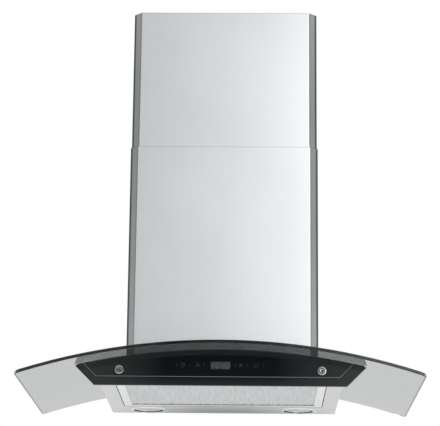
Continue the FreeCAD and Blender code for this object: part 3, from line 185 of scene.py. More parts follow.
def handling_marks():
    """Soft cloudy patches where a surface was touched and wiped. Size: patches per metre."""
    group, given, end = new_group(
        "Handling marks", [("Size", "Float", 8.0)], [("Marks", "Float"), ("Smears", "Float")]
    )
    where = place_of(group)
    cloud = noise(group, where, given["Size"], 3.0, 0.55)
    smear_place = node(
        group, "Mapping", {"Vector": where, "Rotation": (0.4, 0.9, 0.3), "Scale": (1.0, 3.0, 1.0)}
    ).outputs[0]
    smear = noise(group, smear_place, maths(group, "MULTIPLY", given["Size"], 3.1), 4.0, 0.6)
    marks = ranged(group, cloud, 0.0, 1.0, 0.38, 0.66)
    smears = ranged(group, smear, 0.0, 1.0, 0.48, 0.72)
    put_out(group, end, Marks=marks, Smears=smears)
    return group


def painted_edge_highlight():
    """Mask of a piece's sharp edges, broken up in patches, for a painted highlight along them.
    Width: how far in it reaches.
    """
    group, given, end = new_group(
        "Painted edge highlight", [("Width", "Float", 0.0005), ("Breaks", "Float", 90.0)], [("Edge", "Float")]
    )
    round_normal = node(group, "Bevel", {"Radius": given["Width"]}, samples=4).outputs[0]
    flat_normal = node(group, "NewGeometry").outputs["Normal"]
    facing = node(
        group, "VectorMath", {0: round_normal, 1: flat_normal}, operation="DOT_PRODUCT"
    ).outputs["Value"]
    edge = ranged(group, facing, 1.0, 0.0, 0.75, 0.99)
    patches = noise(group, place_of(group), given["Breaks"])
    breaks = ranged(group, patches, 0.25, 1.0, 0.35, 0.6)
    put_out(group, end, Edge=maths(group, "MULTIPLY", edge, breaks))
    return group


def fine_texture():
    """Small even bumps of moulded plastic, rubber or lacquer. Size: bumps per metre."""
    group, given, end = new_group(
        "Fine texture", [("Size", "Float", 900.0)], [("Bumps", "Float"), ("Mottle", "Float")]
    )
    where = place_of(group)
    scaled = {"Vector": where, "Scale": given["Size"]}
    cells = node(group, "TexVoronoi", scaled).outputs["Distance"]
    grains = noise(group, where, given["Size"])
    bumps = maths(group, "ADD", maths(group, "MULTIPLY", cells, 0.6), grains)
    mottle = noise(group, where, maths(group, "MULTIPLY", given["Size"], 0.03), 3.0)
    put_out(group, end, Bumps=bumps, Mottle=mottle)
    return group


GRAIN = brushed_grain()
MARKS = handling_marks()
EDGES = painted_edge_highlight()
TEXTURE = fine_texture()


def effect(tree, group, **values):
    """A shared effect placed in a material, with its own values."""
    made = tree.nodes.new("ShaderNodeGroup")
    made.node_tree = group
    for label, value in values.items():
        made.inputs[label].default_value = value
    return made.outputs


# ------------------------------------------------------------------ materials


def shade(colour, amount):
    """A colour made lighter or darker by a factor."""
    return (*[min(1.0, part * amount) for part in colour[:3]], 1.0)


def new_material(name, **plain):
    """A material with its Principled shader; plain numbers go on the shader's own sockets."""
    material = bpy.data.materials.new(name)
    material.use_nodes = True
    tree = material.node_tree
    shader = tree.nodes["Principled BSDF"]
    for label, value in plain.items():
        shader.inputs[label.replace("_", " ")].default_value = value
    return material, tree, shader


def feed(tree, shader, **sockets):
    for label, value in sockets.items():
        tree.links.new(value, shader.inputs[label.replace("_", " ")])


def bumped(tree, height, depth, strength=1.0):
    values = {"Height": height, "Distance": depth, "Strength": strength}
    return node(tree, "Bump", values).outputs["Normal"]


def brushed_sheet(name, colour, stretch, rough, turned_by=None, spread=0.06, anisotropic=0.5):
    """Brushed stainless sheet: streaks along one axis, wiped patches, and edges made lighter as a
    painted highlight.
    """
    material, tree, shader = new_material(name, Metallic=1.0, Anisotropic=anisotropic)
    grain = effect(tree, GRAIN, Stretch=stretch)
    streaks, bands = grain["Streaks"], grain["Bands"]
    if turned_by:
        across = effect(tree, GRAIN, Stretch=turned_by)
        normal = split(tree, node(tree, "NewGeometry").outputs["Normal"])
        side = maths(tree, "GREATER_THAN", maths(tree, "ABSOLUTE", normal["X"]), 0.7)
        streaks = node(tree, "Mix", {0: side, 2: streaks, 3: across["Streaks"]}).outputs[0]
        bands = node(tree, "Mix", {0: side, 2: bands, 3: across["Bands"]}).outputs[0]
    marks = effect(tree, MARKS, Size=5.0)
    edge = effect(tree, EDGES, Width=0.5 * MM)["Edge"]
    dark, light = shade(colour, 1 - spread), shade(colour, 1 + spread)
    tone = mixed(tree, ranged(tree, streaks, 0.0, 1.0, 0.3, 0.7), dark, light)
    tone = mixed(tree, ranged(tree, bands, 0.0, 0.35, 0.35, 0.7), tone, light)
    tone = mixed(tree, maths(tree, "MULTIPLY", marks["Smears"], 0.12), tone, dark)
    # Painted highlight: the sharp edges are made lighter.
    tone = mixed(tree, maths(tree, "MULTIPLY", edge, 0.5), tone, shade(colour, 1.3))
    roughness = maths(
        tree, "ADD", ranged(tree, streaks, rough - 0.05, rough + 0.05, 0.3, 0.7),
        maths(tree, "MULTIPLY", marks["Marks"], 0.04),
    )
    tangent = node(tree, "Tangent", direction_type="RADIAL", axis="Z").outputs[0]
    feed(
        tree, shader, Base_Color=tone, Roughness=roughness, Tangent=tangent,
        Normal=bumped(tree, streaks, 0.02 * MM, 0.35),
    )
    return material


def cover_steel(cover):
    """Upright grain, painted shade on its bent edges and top edge, and painted light growing down
    its folds.

    Seen through the canopy its colour is darker: painted shade for rays that come through the glass.
    """
    material = brushed_sheet(
        f"{cover}_steel", (0.545, 0.565, 0.57), (2600.0, 2600.0, 30.0), 0.34, spread=0.035,
        anisotropic=0.25,
    )
    tree, shader = material.node_tree, material.node_tree.nodes["Principled BSDF"]
    low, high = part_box(cover)
    where = split(tree, place_of(tree))
    side = maths(tree, "ABSOLUTE", where["X"])
    fold_start = high.x - FOLD_LEG
    on_fold = maths(
        tree, "MULTIPLY", maths(tree, "LESS_THAN", where["Y"], low.y + FOLD_LEG),
        maths(tree, "GREATER_THAN", side, fold_start),
    )
    # outer and inner mark the two bends of each fold, for painted shade along them.
    outer = ranged(tree, side, 0.0, 0.85, high.x - 5.0 * MM, high.x - 2.6 * MM)
    inner = ranged(tree, side, 0.3, 0.0, fold_start + 1.0 * MM, fold_start + 4.0 * MM)
    painted_fold_shade = maths(tree, "MULTIPLY", maths(tree, "MAXIMUM", outer, inner), on_fold)
    # Painted shade: a dark line along the cover's top edge, where it meets the next part.
    painted_top_edge_shade = ranged(tree, where["Z"], 0.0, 0.3, high.z - 1.6 * MM, high.z - 1.2 * MM)
    tone = shader.inputs["Base Color"].links[0].from_socket
    # Painted light: the folds are made paler towards the foot.
    painted_light_towards_foot = ranged(tree, where["Z"], 0.5, 0.0, 60 * MM, 600 * MM)
    painted_fold_light = maths(tree, "MULTIPLY", painted_light_towards_foot, on_fold)
    tone = mixed(tree, painted_fold_light, tone, (0.84, 0.86, 0.87, 1.0))
    # The bends and the top edge are darkened here: painted shade.
    shaded = mixed(tree, maths(tree, "MAXIMUM", painted_fold_shade, painted_top_edge_shade), tone, (0.06, 0.062, 0.063, 1.0))
    # Painted shade: the steel's colour is darkened where it is reached through the glass.
    painted_shade_behind_glass = node(tree, "LightPath").outputs["Is Transmission Ray"]
    feed(tree, shader, Base_Color=mixed(tree, painted_shade_behind_glass, shaded, (0.31, 0.32, 0.33, 1.0)))
    return material


def body_steel():
    """The body's sheet: grain from side to side, and from front to back on its two sides."""
    return brushed_sheet(
        "body_steel", (0.66, 0.665, 0.67), (30.0, 2600.0, 2600.0), 0.3, (2600.0, 30.0, 2600.0)
    )


def grey_glass():
    """Clear grey glass, faintly wiped, with a ground front edge."""
    material, tree, shader = new_material(
        "grey_glass", Metallic=0.0, Transmission_Weight=1.0, IOR=1.5
    )
    marks = effect(tree, MARKS, Size=7.0)
    edge_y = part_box("glass_canopy")[0].y + 1.5 * MM
    at_edge = maths(tree, "LESS_THAN", split(tree, place_of(tree))["Y"], edge_y)
    tone = mixed(tree, at_edge, (0.385, 0.405, 0.41, 1.0), (0.42, 0.43, 0.44, 1.0))
    wiped = ranged(tree, marks["Smears"], 0.0, 0.025)
    roughness = maths(tree, "ADD", wiped, maths(tree, "MULTIPLY", at_edge, 0.3))
    feed(tree, shader, Base_Color=tone, Roughness=roughness)
    return material


def outside_line(tree):
    """Mask of the panel's border, which lies outside its light line."""
    where = split(tree, place_of(tree))
    below = maths(tree, "SUBTRACT", LINE_Z, where["Z"])
    from_middle = maths(tree, "ABSOLUTE", maths(tree, "SUBTRACT", where["X"], LINE_MIDDLE))
    side = maths(tree, "SUBTRACT", from_middle, LINE_HALF - LINE_Z)
    past_end = maths(tree, "MULTIPLY", maths(tree, "SUBTRACT", side, where["Z"]), math.sqrt(0.5))
    outside = maths(tree, "MAXIMUM", below, past_end)
    return ranged(tree, outside, 0.0, 1.0, 0.0, 0.3 * MM)


def black_glass():
    """Toughened glass with black enamel behind it, and a lighter border: a painted reflection of its
    bevel.
    """
    material, tree, shader = new_material("black_glass", IOR=1.5)
    marks = effect(tree, MARKS, Size=11.0)
    edge = effect(tree, EDGES, Width=0.5 * MM)["Edge"]
    # The border's lighter colour is a painted reflection of the bevel around the panel.
    inside, border = (0.0065, 0.0085, 0.0092, 1.0), (0.010, 0.012, 0.013, 1.0)
    tone = mixed(tree, outside_line(tree), inside, border)
    # Painted highlight: the glass's sharp edges are made lighter.
    tone = mixed(tree, edge, tone, (0.06, 0.07, 0.07, 1.0))
    feed(tree, shader, Base_Color=tone, Roughness=ranged(tree, marks["Smears"], 0.05, 0.12))
    return material


def display_grey():
    """Smoked window in front of the digits, with a fine diffusing ribbing."""
    material, tree, shader = new_material("display_grey", Coat_Weight=0.4, Coat_Roughness=0.08)
    ribs = noise(tree, stretched(tree, (1600.0, 60.0, 60.0)), 1.0)
    marks = effect(tree, MARKS, Size=60.0)
    tone = mixed(tree, ribs, (0.030, 0.034, 0.036, 1.0), (0.048, 0.053, 0.056, 1.0))
    feed(tree, shader, Base_Color=tone, Roughness=ranged(tree, marks["Marks"], 0.22, 0.32))
    return material


def polished_metal(name, colour, rough):
    """Plated or turned metal: near mirror, with faint wipe marks and edges made lighter as a painted
    highlight.
    """
    material, tree, shader = new_material(name, Metallic=1.0)
    marks = effect(tree, MARKS, Size=26.0)
    edge = effect(tree, EDGES, Width=0.3 * MM)["Edge"]
    lines = noise(tree, stretched(tree, (900.0, 900.0, 5200.0)), 1.0, 3.0)
    tone = mixed(tree, marks["Marks"], shade(colour, 0.93), shade(colour, 1.03))
    # Painted highlight: the sharp edges are made lighter.
    tone = mixed(tree, maths(tree, "MULTIPLY", edge, 0.4), tone, shade(colour, 1.2))
    roughness = maths(
        tree, "ADD", ranged(tree, lines, rough * 0.7, rough * 1.3),
        maths(tree, "MULTIPLY", marks["Smears"], 0.05),
    )
    feed(
        tree, shader, Base_Color=tone, Roughness=roughness,
        Normal=bumped(tree, lines, 0.01 * MM, 0.4),
    )
    return material


def cap_chrome():
    """The panel caps: chrome, with painted shade in the ring groove and in the socket."""
    material = polished_metal("cap_chrome", (0.68, 0.69, 0.70), 0.14)
    tree, shader = material.node_tree, material.node_tree.nodes["Principled BSDF"]
    low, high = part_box("panel_screws")
    where = split(tree, place_of(tree))
    across = maths(
        tree, "SUBTRACT", maths(tree, "ABSOLUTE", where["X"]), high.x - CAP_RADIUS
    )
    up = maths(tree, "SUBTRACT", where["Z"], (low.z + high.z) / 2)
    squares = maths(tree, "ADD", maths(tree, "POWER", across, 2.0), maths(tree, "POWER", up, 2.0))
    radius = maths(tree, "SQRT", squares)
    from_groove = maths(tree, "ABSOLUTE", maths(tree, "SUBTRACT", radius, CAP_GROOVE_RADIUS))
    painted_groove_shade = ranged(tree, from_groove, 1.0, 0.0, 0.4 * MM, 0.9 * MM)
    socket = ranged(tree, radius, 1.0, 0.0, CAP_SOCKET_RADIUS, CAP_SOCKET_RADIUS + 0.6 * MM)
    tone = shader.inputs["Base Color"].links[0].from_socket
    # Painted shade: the ring groove and the socket are darkened.
    dark = maths(tree, "MAXIMUM", painted_groove_shade, socket)
    feed(tree, shader, Base_Color=mixed(tree, dark, tone, (0.07, 0.072, 0.075, 1.0)))
    return material


def moulded(name, colour, rough, size=900.0, depth=0.03, **plain):
    """Moulded plastic or rubber: fine even texture, slight mottle, and edges made paler as a painted
    highlight.
    """
    material, tree, shader = new_material(name, **plain)
    texture = effect(tree, TEXTURE, Size=size)
    marks = effect(tree, MARKS, Size=18.0)
    edge = effect(tree, EDGES, Width=0.4 * MM)["Edge"]
    tone = mixed(tree, texture["Mottle"], shade(colour, 0.85), shade(colour, 1.12))
    # Painted highlight: the sharp edges are made paler.
    tone = mixed(tree, maths(tree, "MULTIPLY", edge, 0.35), tone, shade(colour, 1.9))
    roughness = maths(
        tree, "SUBTRACT", ranged(tree, texture["Mottle"], rough - 0.06, rough + 0.06),
        maths(tree, "MULTIPLY", marks["Smears"], 0.08),
    )
    feed(
        tree, shader, Base_Color=tone, Roughness=roughness,
        Normal=bumped(tree, texture["Bumps"], depth * MM, 0.6),
    )
    return material


def board_green():
    """Circuit board: solder mask over copper tracks, with tinned pads."""
    material, tree, shader = new_material("board_green", Coat_Weight=0.5, Coat_Roughness=0.15)
    where = stretched(tree, (160.0, 160.0, 160.0))
    upright = {"Vector": where, "Rotation": (math.pi / 2, 0.0, 0.0)}
    on_face = node(tree, "Mapping", upright).outputs[0]
    bricks = {"Vector": on_face, "Scale": 1.0, "Mortar Size": 0.06, "Row Height": 0.35}
    tracks = node(tree, "TexBrick", bricks).outputs["Fac"]
    pads = node(tree, "TexVoronoi", {"Vector": where, "Scale": 1.6}).outputs["Distance"]
    is_pad = maths(tree, "LESS_THAN", pads, 0.17)
    tone = mixed(tree, tracks, (0.012, 0.11, 0.045, 1.0), (0.03, 0.22, 0.09, 1.0))
    tone = mixed(tree, is_pad, tone, (0.62, 0.61, 0.58, 1.0))
    feed(
        tree, shader, Base_Color=tone, Metallic=is_pad, Roughness=ranged(tree, tracks, 0.35, 0.5),
        Normal=bumped(tree, tracks, 0.05 * MM, 0.5),
    )
    return material


def frosted_glass():
    """Lamp lens: pressed glass, frosted inside, so it spreads the light."""
    material, tree, shader = new_material(
        "frosted_glass", Base_Color=(0.97, 0.975, 0.98, 1.0), Metallic=0.0,
        Transmission_Weight=0.6, IOR=1.48, Coat_Weight=0.6, Coat_Roughness=0.05,
    )
    texture = effect(tree, TEXTURE, Size=1300.0)
    feed(
        tree, shader, Roughness=ranged(tree, texture["Mottle"], 0.25, 0.4),
        Normal=bumped(tree, texture["Bumps"], 0.03 * MM, 0.3),
    )
    return material


def rolled_aluminium(name, colour, rough, stretch):
    """Bright rolled aluminium, with faint roll lines and soft marks."""
    material, tree, shader = new_material(name, Metallic=1.0)
    grain = effect(tree, GRAIN, Stretch=stretch)
    marks = effect(tree, MARKS, Size=14.0)
    edge = effect(tree, EDGES, Width=0.5 * MM)["Edge"]
    tone = mixed(tree, grain["Streaks"], shade(colour, 0.94), shade(colour, 1.05))
    tone = mixed(tree, maths(tree, "MULTIPLY", marks["Smears"], 0.2), tone, shade(colour, 0.85))
    # Painted highlight: the sharp edges are made lighter.
    tone = mixed(tree, maths(tree, "MULTIPLY", edge, 0.5), tone, shade(colour, 1.15))
    roughness = maths(
        tree, "ADD", ranged(tree, grain["Streaks"], rough - 0.04, rough + 0.04),
        maths(tree, "MULTIPLY", marks["Marks"], 0.06),
    )
    feed(
        tree, shader, Base_Color=tone, Roughness=roughness,
        Normal=bumped(tree, grain["Streaks"], 0.015 * MM, 0.4),
    )
    return material


def zinc_steel():
    """Galvanised sheet: crystals of several greys that each shine a little differently."""
    material, tree, shader = new_material("zinc_steel", Metallic=0.85)
    crystals = node(
        tree, "TexVoronoi",
        {"Vector": stretched(tree, (95.0, 95.0, 60.0)), "Scale": 1.0, "Randomness": 1.0},
    ).outputs["Color"]
    grey = split(tree, crystals)["X"]
    edge = effect(tree, EDGES, Width=0.5 * MM)["Edge"]
    marks = effect(tree, MARKS, Size=12.0)
    tone = mixed(tree, grey, (0.40, 0.42, 0.43, 1.0), (0.60, 0.62, 0.63, 1.0))
    tone = mixed(tree, maths(tree, "MULTIPLY", marks["Marks"], 0.3), tone, (0.47, 0.49, 0.5, 1.0))
    # Painted highlight: the sharp edges are made lighter.
    tone = mixed(tree, maths(tree, "MULTIPLY", edge, 0.5), tone, (0.7, 0.72, 0.73, 1.0))
    feed(
        tree, shader, Base_Color=tone, Roughness=ranged(tree, grey, 0.30, 0.48),
        Normal=bumped(tree, grey, 0.02 * MM, 0.3),
    )
    return material


def filter_frame_aluminium():
    """The filter's folded frame: bright rolled strip, with a mitred seam at each corner."""
    material = rolled_aluminium(
        "filter_frame_aluminium", (0.80, 0.82, 0.82), 0.26, (40.0, 900.0, 900.0)
    )
    tree, shader = material.node_tree, material.node_tree.nodes["Principled BSDF"]
    low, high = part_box("filter_frame")
    where = split(tree, place_of(tree))
    from_side = maths(tree, "SUBTRACT", high.x, maths(tree, "ABSOLUTE", where["X"]))
    side_border, front_border, rear_border = 16 * MM, 24 * MM, 16 * MM
    seams = []
    for from_end, border in (
        (maths(tree, "SUBTRACT", where["Y"], low.y), front_border),
        (maths(tree, "SUBTRACT", high.y, where["Y"]), rear_border),
    ):
        along = maths(tree, "MULTIPLY", from_end, side_border / border)
        off = maths(tree, "ABSOLUTE", maths(tree, "SUBTRACT", from_side, along))
        in_corner = maths(tree, "LESS_THAN", from_end, border)
        seams.append(maths(tree, "MULTIPLY", maths(tree, "LESS_THAN", off, 0.25 * MM), in_corner))
    seam = maths(tree, "MAXIMUM", *seams)
    tone = shader.inputs["Base Color"].links[0].from_socket
    feed(tree, shader, Base_Color=mixed(tree, seam, tone, (0.16, 0.165, 0.17, 1.0)))
    return material


def filter_foil():
    """The filter's expanded foil, with soft bands of light and shade along its crimps."""
    material = rolled_aluminium("filter_foil", (0.65, 0.67, 0.675), 0.3, (300.0, 300.0, 300.0))
    tree, shader = material.node_tree, material.node_tree.nodes["Principled BSDF"]
    crimps = noise(tree, stretched(tree, (210.0, 14.0, 14.0)), 1.0, 3.0)
    tone = shader.inputs["Base Color"].links[0].from_socket
    dark = maths(tree, "MULTIPLY", ranged(tree, crimps, 0.0, 1.0, 0.35, 0.65), 0.25)
    feed(tree, shader, Base_Color=mixed(tree, dark, tone, (0.30, 0.31, 0.31, 1.0)))
    return material


def ink(name, colour, rough):
    """Printed ink: nearly flat, with the print's fine unevenness."""
    material, tree, shader = new_material(name)
    texture = effect(tree, TEXTURE, Size=2200.0)
    tone = mixed(tree, texture["Bumps"], shade(colour, 0.85), shade(colour, 1.1))
    roughness = ranged(tree, texture["Mottle"], rough, rough + 0.1)
    feed(tree, shader, Base_Color=tone, Roughness=roughness)
    return material


FINISHES = {
    "duct_steel": cover_steel("lower_duct_cover"),
    "body_steel": body_steel(),
    "grey_glass": grey_glass(),
    "black_glass": black_glass(),
    "display_grey": display_grey(),
    "black_rubber": moulded("black_rubber", (0.028, 0.028, 0.029), 0.72, 700.0, 0.05),
    "bright_chrome": polished_metal("bright_chrome", (0.80, 0.81, 0.82), 0.09),
    "plain_aluminium": polished_metal("plain_aluminium", (0.70, 0.70, 0.71), 0.34),
    "black_plastic": moulded("black_plastic", (0.026, 0.026, 0.028), 0.5),
    "board_green": board_green(),
    "frosted_glass": frosted_glass(),
    "filter_aluminium": filter_foil(),
    "zinc_steel": zinc_steel(),
    "plain_steel": polished_metal("plain_steel", (0.52, 0.52, 0.53), 0.28),
    "motor_metal": moulded("motor_metal", (0.07, 0.07, 0.075), 0.36, 500.0, 0.02, Metallic=0.6),
    "flap_aluminium": rolled_aluminium(
        "flap_aluminium", (0.66, 0.67, 0.68), 0.36, (900.0, 30.0, 900.0)
    ),
    "white_plastic": moulded("white_plastic", (0.78, 0.78, 0.76), 0.42, 1000.0, 0.02),
}
UPPER_COVER_STEEL = cover_steel("upper_duct_cover")
FRAME_ALUMINIUM = filter_frame_aluminium()
CAP_CHROME = cap_chrome()
# Painted highlight: the light line along the panel's bevel ridge.
RIDGE_HIGHLIGHT_INK = ink("painted_ridge_highlight", (0.16, 0.165, 0.17), 0.3)
KEY_INK = ink("key_ink", (0.022, 0.0245, 0.026), 0.4)
DIGIT_INK = ink("digit_ink", (0.10, 0.108, 0.112), 0.35)


def dress_solids():
    """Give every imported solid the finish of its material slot."""
    for row in frame["record"]["subparts"]:
        solid = frame["nodes"][row["node"]]
        finish = FINISHES[row["material_slot"]]
        for place in solid.material_slots:
            place.material = finish
    for name, finish in (
        ("filter_frame", FRAME_ALUMINIUM), ("upper_duct_cover", UPPER_COVER_STEEL)
    ):
        for place in frame["nodes"][name].material_slots:
            place.material = finish


# ------------------------------------------------------------------ modelling helpers


def started(name, primitive, rotation=(0.0, 0.0, 0.0), scale=(1.0, 1.0, 1.0), **options):
    """A new primitive, alone selected, with its place, turn and scale already in its mesh."""
    bpy.ops.object.select_all(action="DESELECT")
    primitive(rotation=rotation, **options)
    piece = bpy.context.object
    piece.name = piece.data.name = name
    piece.scale = scale
    bpy.ops.object.transform_apply(location=True, rotation=True, scale=True)
    return piece


@contextmanager
def editing(piece):
    """Edit mode on one piece, with all of its mesh selected."""
    bpy.ops.object.select_all(action="DESELECT")
    piece.select_set(True)
    bpy.context.view_layer.objects.active = piece
    bpy.ops.object.mode_set(mode="EDIT")
    bpy.ops.mesh.select_all(action="SELECT")
    yield
    bpy.ops.object.mode_set(mode="OBJECT")


def pick(piece, kind, wanted):
    """In edit mode, select only the vertices, edges or faces whose centre passes the test."""
    bpy.ops.mesh.select_mode(type=kind)
    bpy.ops.mesh.select_all(action="DESELECT")
    mesh = bmesh.from_edit_mesh(piece.data)
    items = {"VERT": mesh.verts, "EDGE": mesh.edges, "FACE": mesh.faces}[kind]
    for item in items:
        corners = [item] if kind == "VERT" else item.verts
        centre = sum((corner.co for corner in corners), Vector()) / len(corners)
        item.select_set(wanted(centre))
    mesh.select_flush_mode()
    bmesh.update_edit_mesh(piece.data)


def modified(piece, kind, **settings):
    """Add one modifier and apply it."""
    bpy.ops.object.select_all(action="DESELECT")
    piece.select_set(True)
    bpy.context.view_layer.objects.active = piece
    modifier = piece.modifiers.new(kind, kind)
    for name, value in settings.items():
        setattr(modifier, name, value)
    bpy.ops.object.modifier_apply(modifier=modifier.name)


def joined(name, parts):
    bpy.ops.object.select_all(action="DESELECT")
    for part in parts:
        part.select_set(True)
    bpy.context.view_layer.objects.active = parts[0]
    bpy.ops.object.join()
    parts[0].name = parts[0].data.name = name
    return parts[0]


def copied(piece, name, shift):
    """A copy with its own mesh, moved by shift."""
    copy = piece.copy()
    copy.data = piece.data.copy()
    copy.name = copy.data.name = name
    copy.data.transform(Matrix.Translation(shift))
    bpy.context.scene.collection.objects.link(copy)
    return copy


def placed(piece, rotation, shift):
    """Turn a piece about the origin and move it, in its mesh."""
    bpy.ops.object.select_all(action="DESELECT")
    piece.select_set(True)
    bpy.context.view_layer.objects.active = piece
    piece.rotation_euler = rotation
    piece.location = shift
    bpy.ops.object.transform_apply(location=True, rotation=True, scale=True)
    return piece


def rounded(piece, degrees=35):
    bpy.ops.object.select_all(action="DESELECT")
    piece.select_set(True)
    bpy.context.view_layer.objects.active = piece
    bpy.ops.object.shade_smooth_by_angle(angle=math.radians(degrees))


def finished(piece, material, body):
    """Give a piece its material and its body."""
    piece.data.materials.clear()
    piece.data.materials.append(material)
    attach(piece, body)
    return piece


def turned(name, profile):
    """A body of revolution about Z: a circle extruded ring by ring through (radius, height)."""
    radius, height = profile[0]
    piece = started(
        name, bpy.ops.mesh.primitive_circle_add, vertices=48, radius=radius,
        fill_type="NOTHING", location=(0, 0, height),
    )
    with editing(piece):
        for next_radius, next_height in profile[1:]:
            bpy.ops.mesh.extrude_edges_move(
                TRANSFORM_OT_translate={"value": (0, 0, next_height - height)}
            )
            ratio = next_radius / radius
            bpy.ops.transform.resize(
                value=(ratio, ratio, 1), center_override=(0, 0, next_height)
            )
            radius, height = next_radius, next_height
        bpy.ops.mesh.select_all(action="SELECT")
        bpy.ops.mesh.remove_doubles(threshold=0.001 * MM)
        bpy.ops.mesh.normals_make_consistent(inside=False)
    return piece


# ------------------------------------------------------------------ filter mesh


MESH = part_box("filter_mesh")
WAVE_LONG = 18 * MM


def expanded_sheet(name, long_way, short_way, strand, tilt, base, waves=0.0):
    """Expanded foil: a slit diamond with tilted strands, repeated over the filter's opening."""
    half_long, half_short = long_way / 2, short_way / 2
    corner = MESH[0]
    width, depth = MESH[1].x - corner.x, MESH[1].y - corner.y
    piece = started(
        name, bpy.ops.mesh.primitive_circle_add, vertices=4, radius=1, fill_type="NGON",
        location=(corner.x, corner.y, 0), scale=(half_long, half_short, 1),
    )
    with editing(piece):
        bpy.ops.mesh.inset(thickness=strand / 2)
        bpy.ops.mesh.delete(type="FACE")
        for side in (1, -1):
            def inner(centre):
                across = abs(centre.x - corner.x) / half_long
                along = side * (centre.y - corner.y) / half_short
                return along > 0.02 and across + along < 0.98

            pick(piece, "VERT", inner)
            bpy.ops.transform.translate(value=(0, 0, side * tilt))
    repeats = (
        (2, (half_long, half_short, 0)),
        (math.ceil(width / long_way) + 1, (long_way, 0, 0)),
        (math.ceil(depth / short_way) + 1, (0, short_way, 0)),
    )
    for count, step in repeats:
        modified(
            piece, "ARRAY", count=count, use_relative_offset=False, use_constant_offset=True,
            constant_offset_displace=step, use_merge_vertices=True, merge_threshold=0.01 * MM,
        )
    sides = ((0, (-1, 0, 0)), (0, (0, -1, 0)), (1, (1, 0, 0)), (1, (0, 1, 0)))
    with editing(piece):
        for end, way in sides:
            bpy.ops.mesh.select_all(action="SELECT")
            bpy.ops.mesh.bisect(plane_co=MESH[end], plane_no=way, clear_outer=True)
    modified(piece, "SOLIDIFY", thickness=0.3 * MM, offset=0.0)
    for corner_point in piece.data.vertices:
        wave = waves * math.sin(2 * math.pi * corner_point.co.x / WAVE_LONG)
        corner_point.co.z += base + wave
    return piece


def filter_mesh():
    """Three layers of expanded foil: a flat guard below, a crimped core and a flat top."""
    low = MESH[0].z
    guard = expanded_sheet(
        "filter_mesh_guard", 8 * MM, 4 * MM, 1.3 * MM, 0.3 * MM, low + 0.7 * MM, 0.3 * MM
    )
    core = expanded_sheet(
        "filter_mesh_core", 10 * MM, 5 * MM, 2.4 * MM, 0.3 * MM, low + 2.1 * MM, 0.5 * MM
    )
    top = expanded_sheet("filter_mesh_top", 10 * MM, 5 * MM, 2.4 * MM, 0.3 * MM, low + 3.4 * MM)
    for layer in (guard, core, top):
        finished(layer, FINISHES["filter_aluminium"], "filter")
        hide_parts("filter_mesh")


# ------------------------------------------------------------------ panel print, keys and digits


def dot(x, z, radius):
    return started(
        "dot", bpy.ops.mesh.primitive_circle_add, vertices=24, radius=radius, fill_type="NGON",
        location=(x, z, 0),
    )


def bar(x, z, long, wide, degrees=0.0):
    return started(
        "bar", bpy.ops.mesh.primitive_plane_add, size=1, location=(x, z, 0),
        rotation=(0, 0, math.radians(degrees)), scale=(long, wide, 1),
    )


def ring(x, z, radius, wide, kept=()):
    """A flat ring, or the arc of it that lies on the kept side of each (angle, offset) line."""
    piece = started(
        "ring", bpy.ops.mesh.primitive_circle_add, vertices=48, radius=radius, fill_type="NGON",
        location=(x, z, 0),
    )
    with editing(piece):
        bpy.ops.mesh.inset(thickness=wide)
        bpy.ops.mesh.delete(type="FACE")
        for degrees, offset in kept:
            way = Vector((math.cos(math.radians(degrees)), math.sin(math.radians(degrees)), 0))
            bpy.ops.mesh.select_all(action="SELECT")
            bpy.ops.mesh.bisect(
                plane_co=Vector((x, z, 0)) + way * offset, plane_no=way, clear_inner=True
            )
    return piece


def printed(name, shapes, material, front, slope=0.0):
    """Flat shapes joined and laid on an upright face at y = front, as thin print."""
    piece = joined(name, shapes)
    if slope:
        for corner in piece.data.vertices:
            corner.co.x += slope * (corner.co.y - KEY_Z)
    modified(piece, "SOLIDIFY", thickness=PRINT_THICK, offset=1.0)
    placed(piece, (math.pi / 2, 0, 0), (0, front, 0))
    return finished(piece, material, "hood")


def ridge_highlight_line():
    """The thin light line inside the panel's bottom edge and slanted ends: a painted highlight along
    the bevel's ridge, laid on as print.
    """
    end_long = LINE_END_RISE * math.sqrt(2)
    shapes = [bar(LINE_MIDDLE, LINE_Z, 2 * LINE_HALF + LINE_WIDTH / 2, LINE_WIDTH)]
    for side in (-1, 1):
        x = LINE_MIDDLE + side * (LINE_HALF + LINE_END_RISE / 2)
        shapes.append(bar(x, LINE_Z + LINE_END_RISE / 2, end_long, LINE_WIDTH, side * 45))
    printed("panel_ridge_highlight_line", shapes, RIDGE_HIGHLIGHT_INK, PANEL_FRONT)


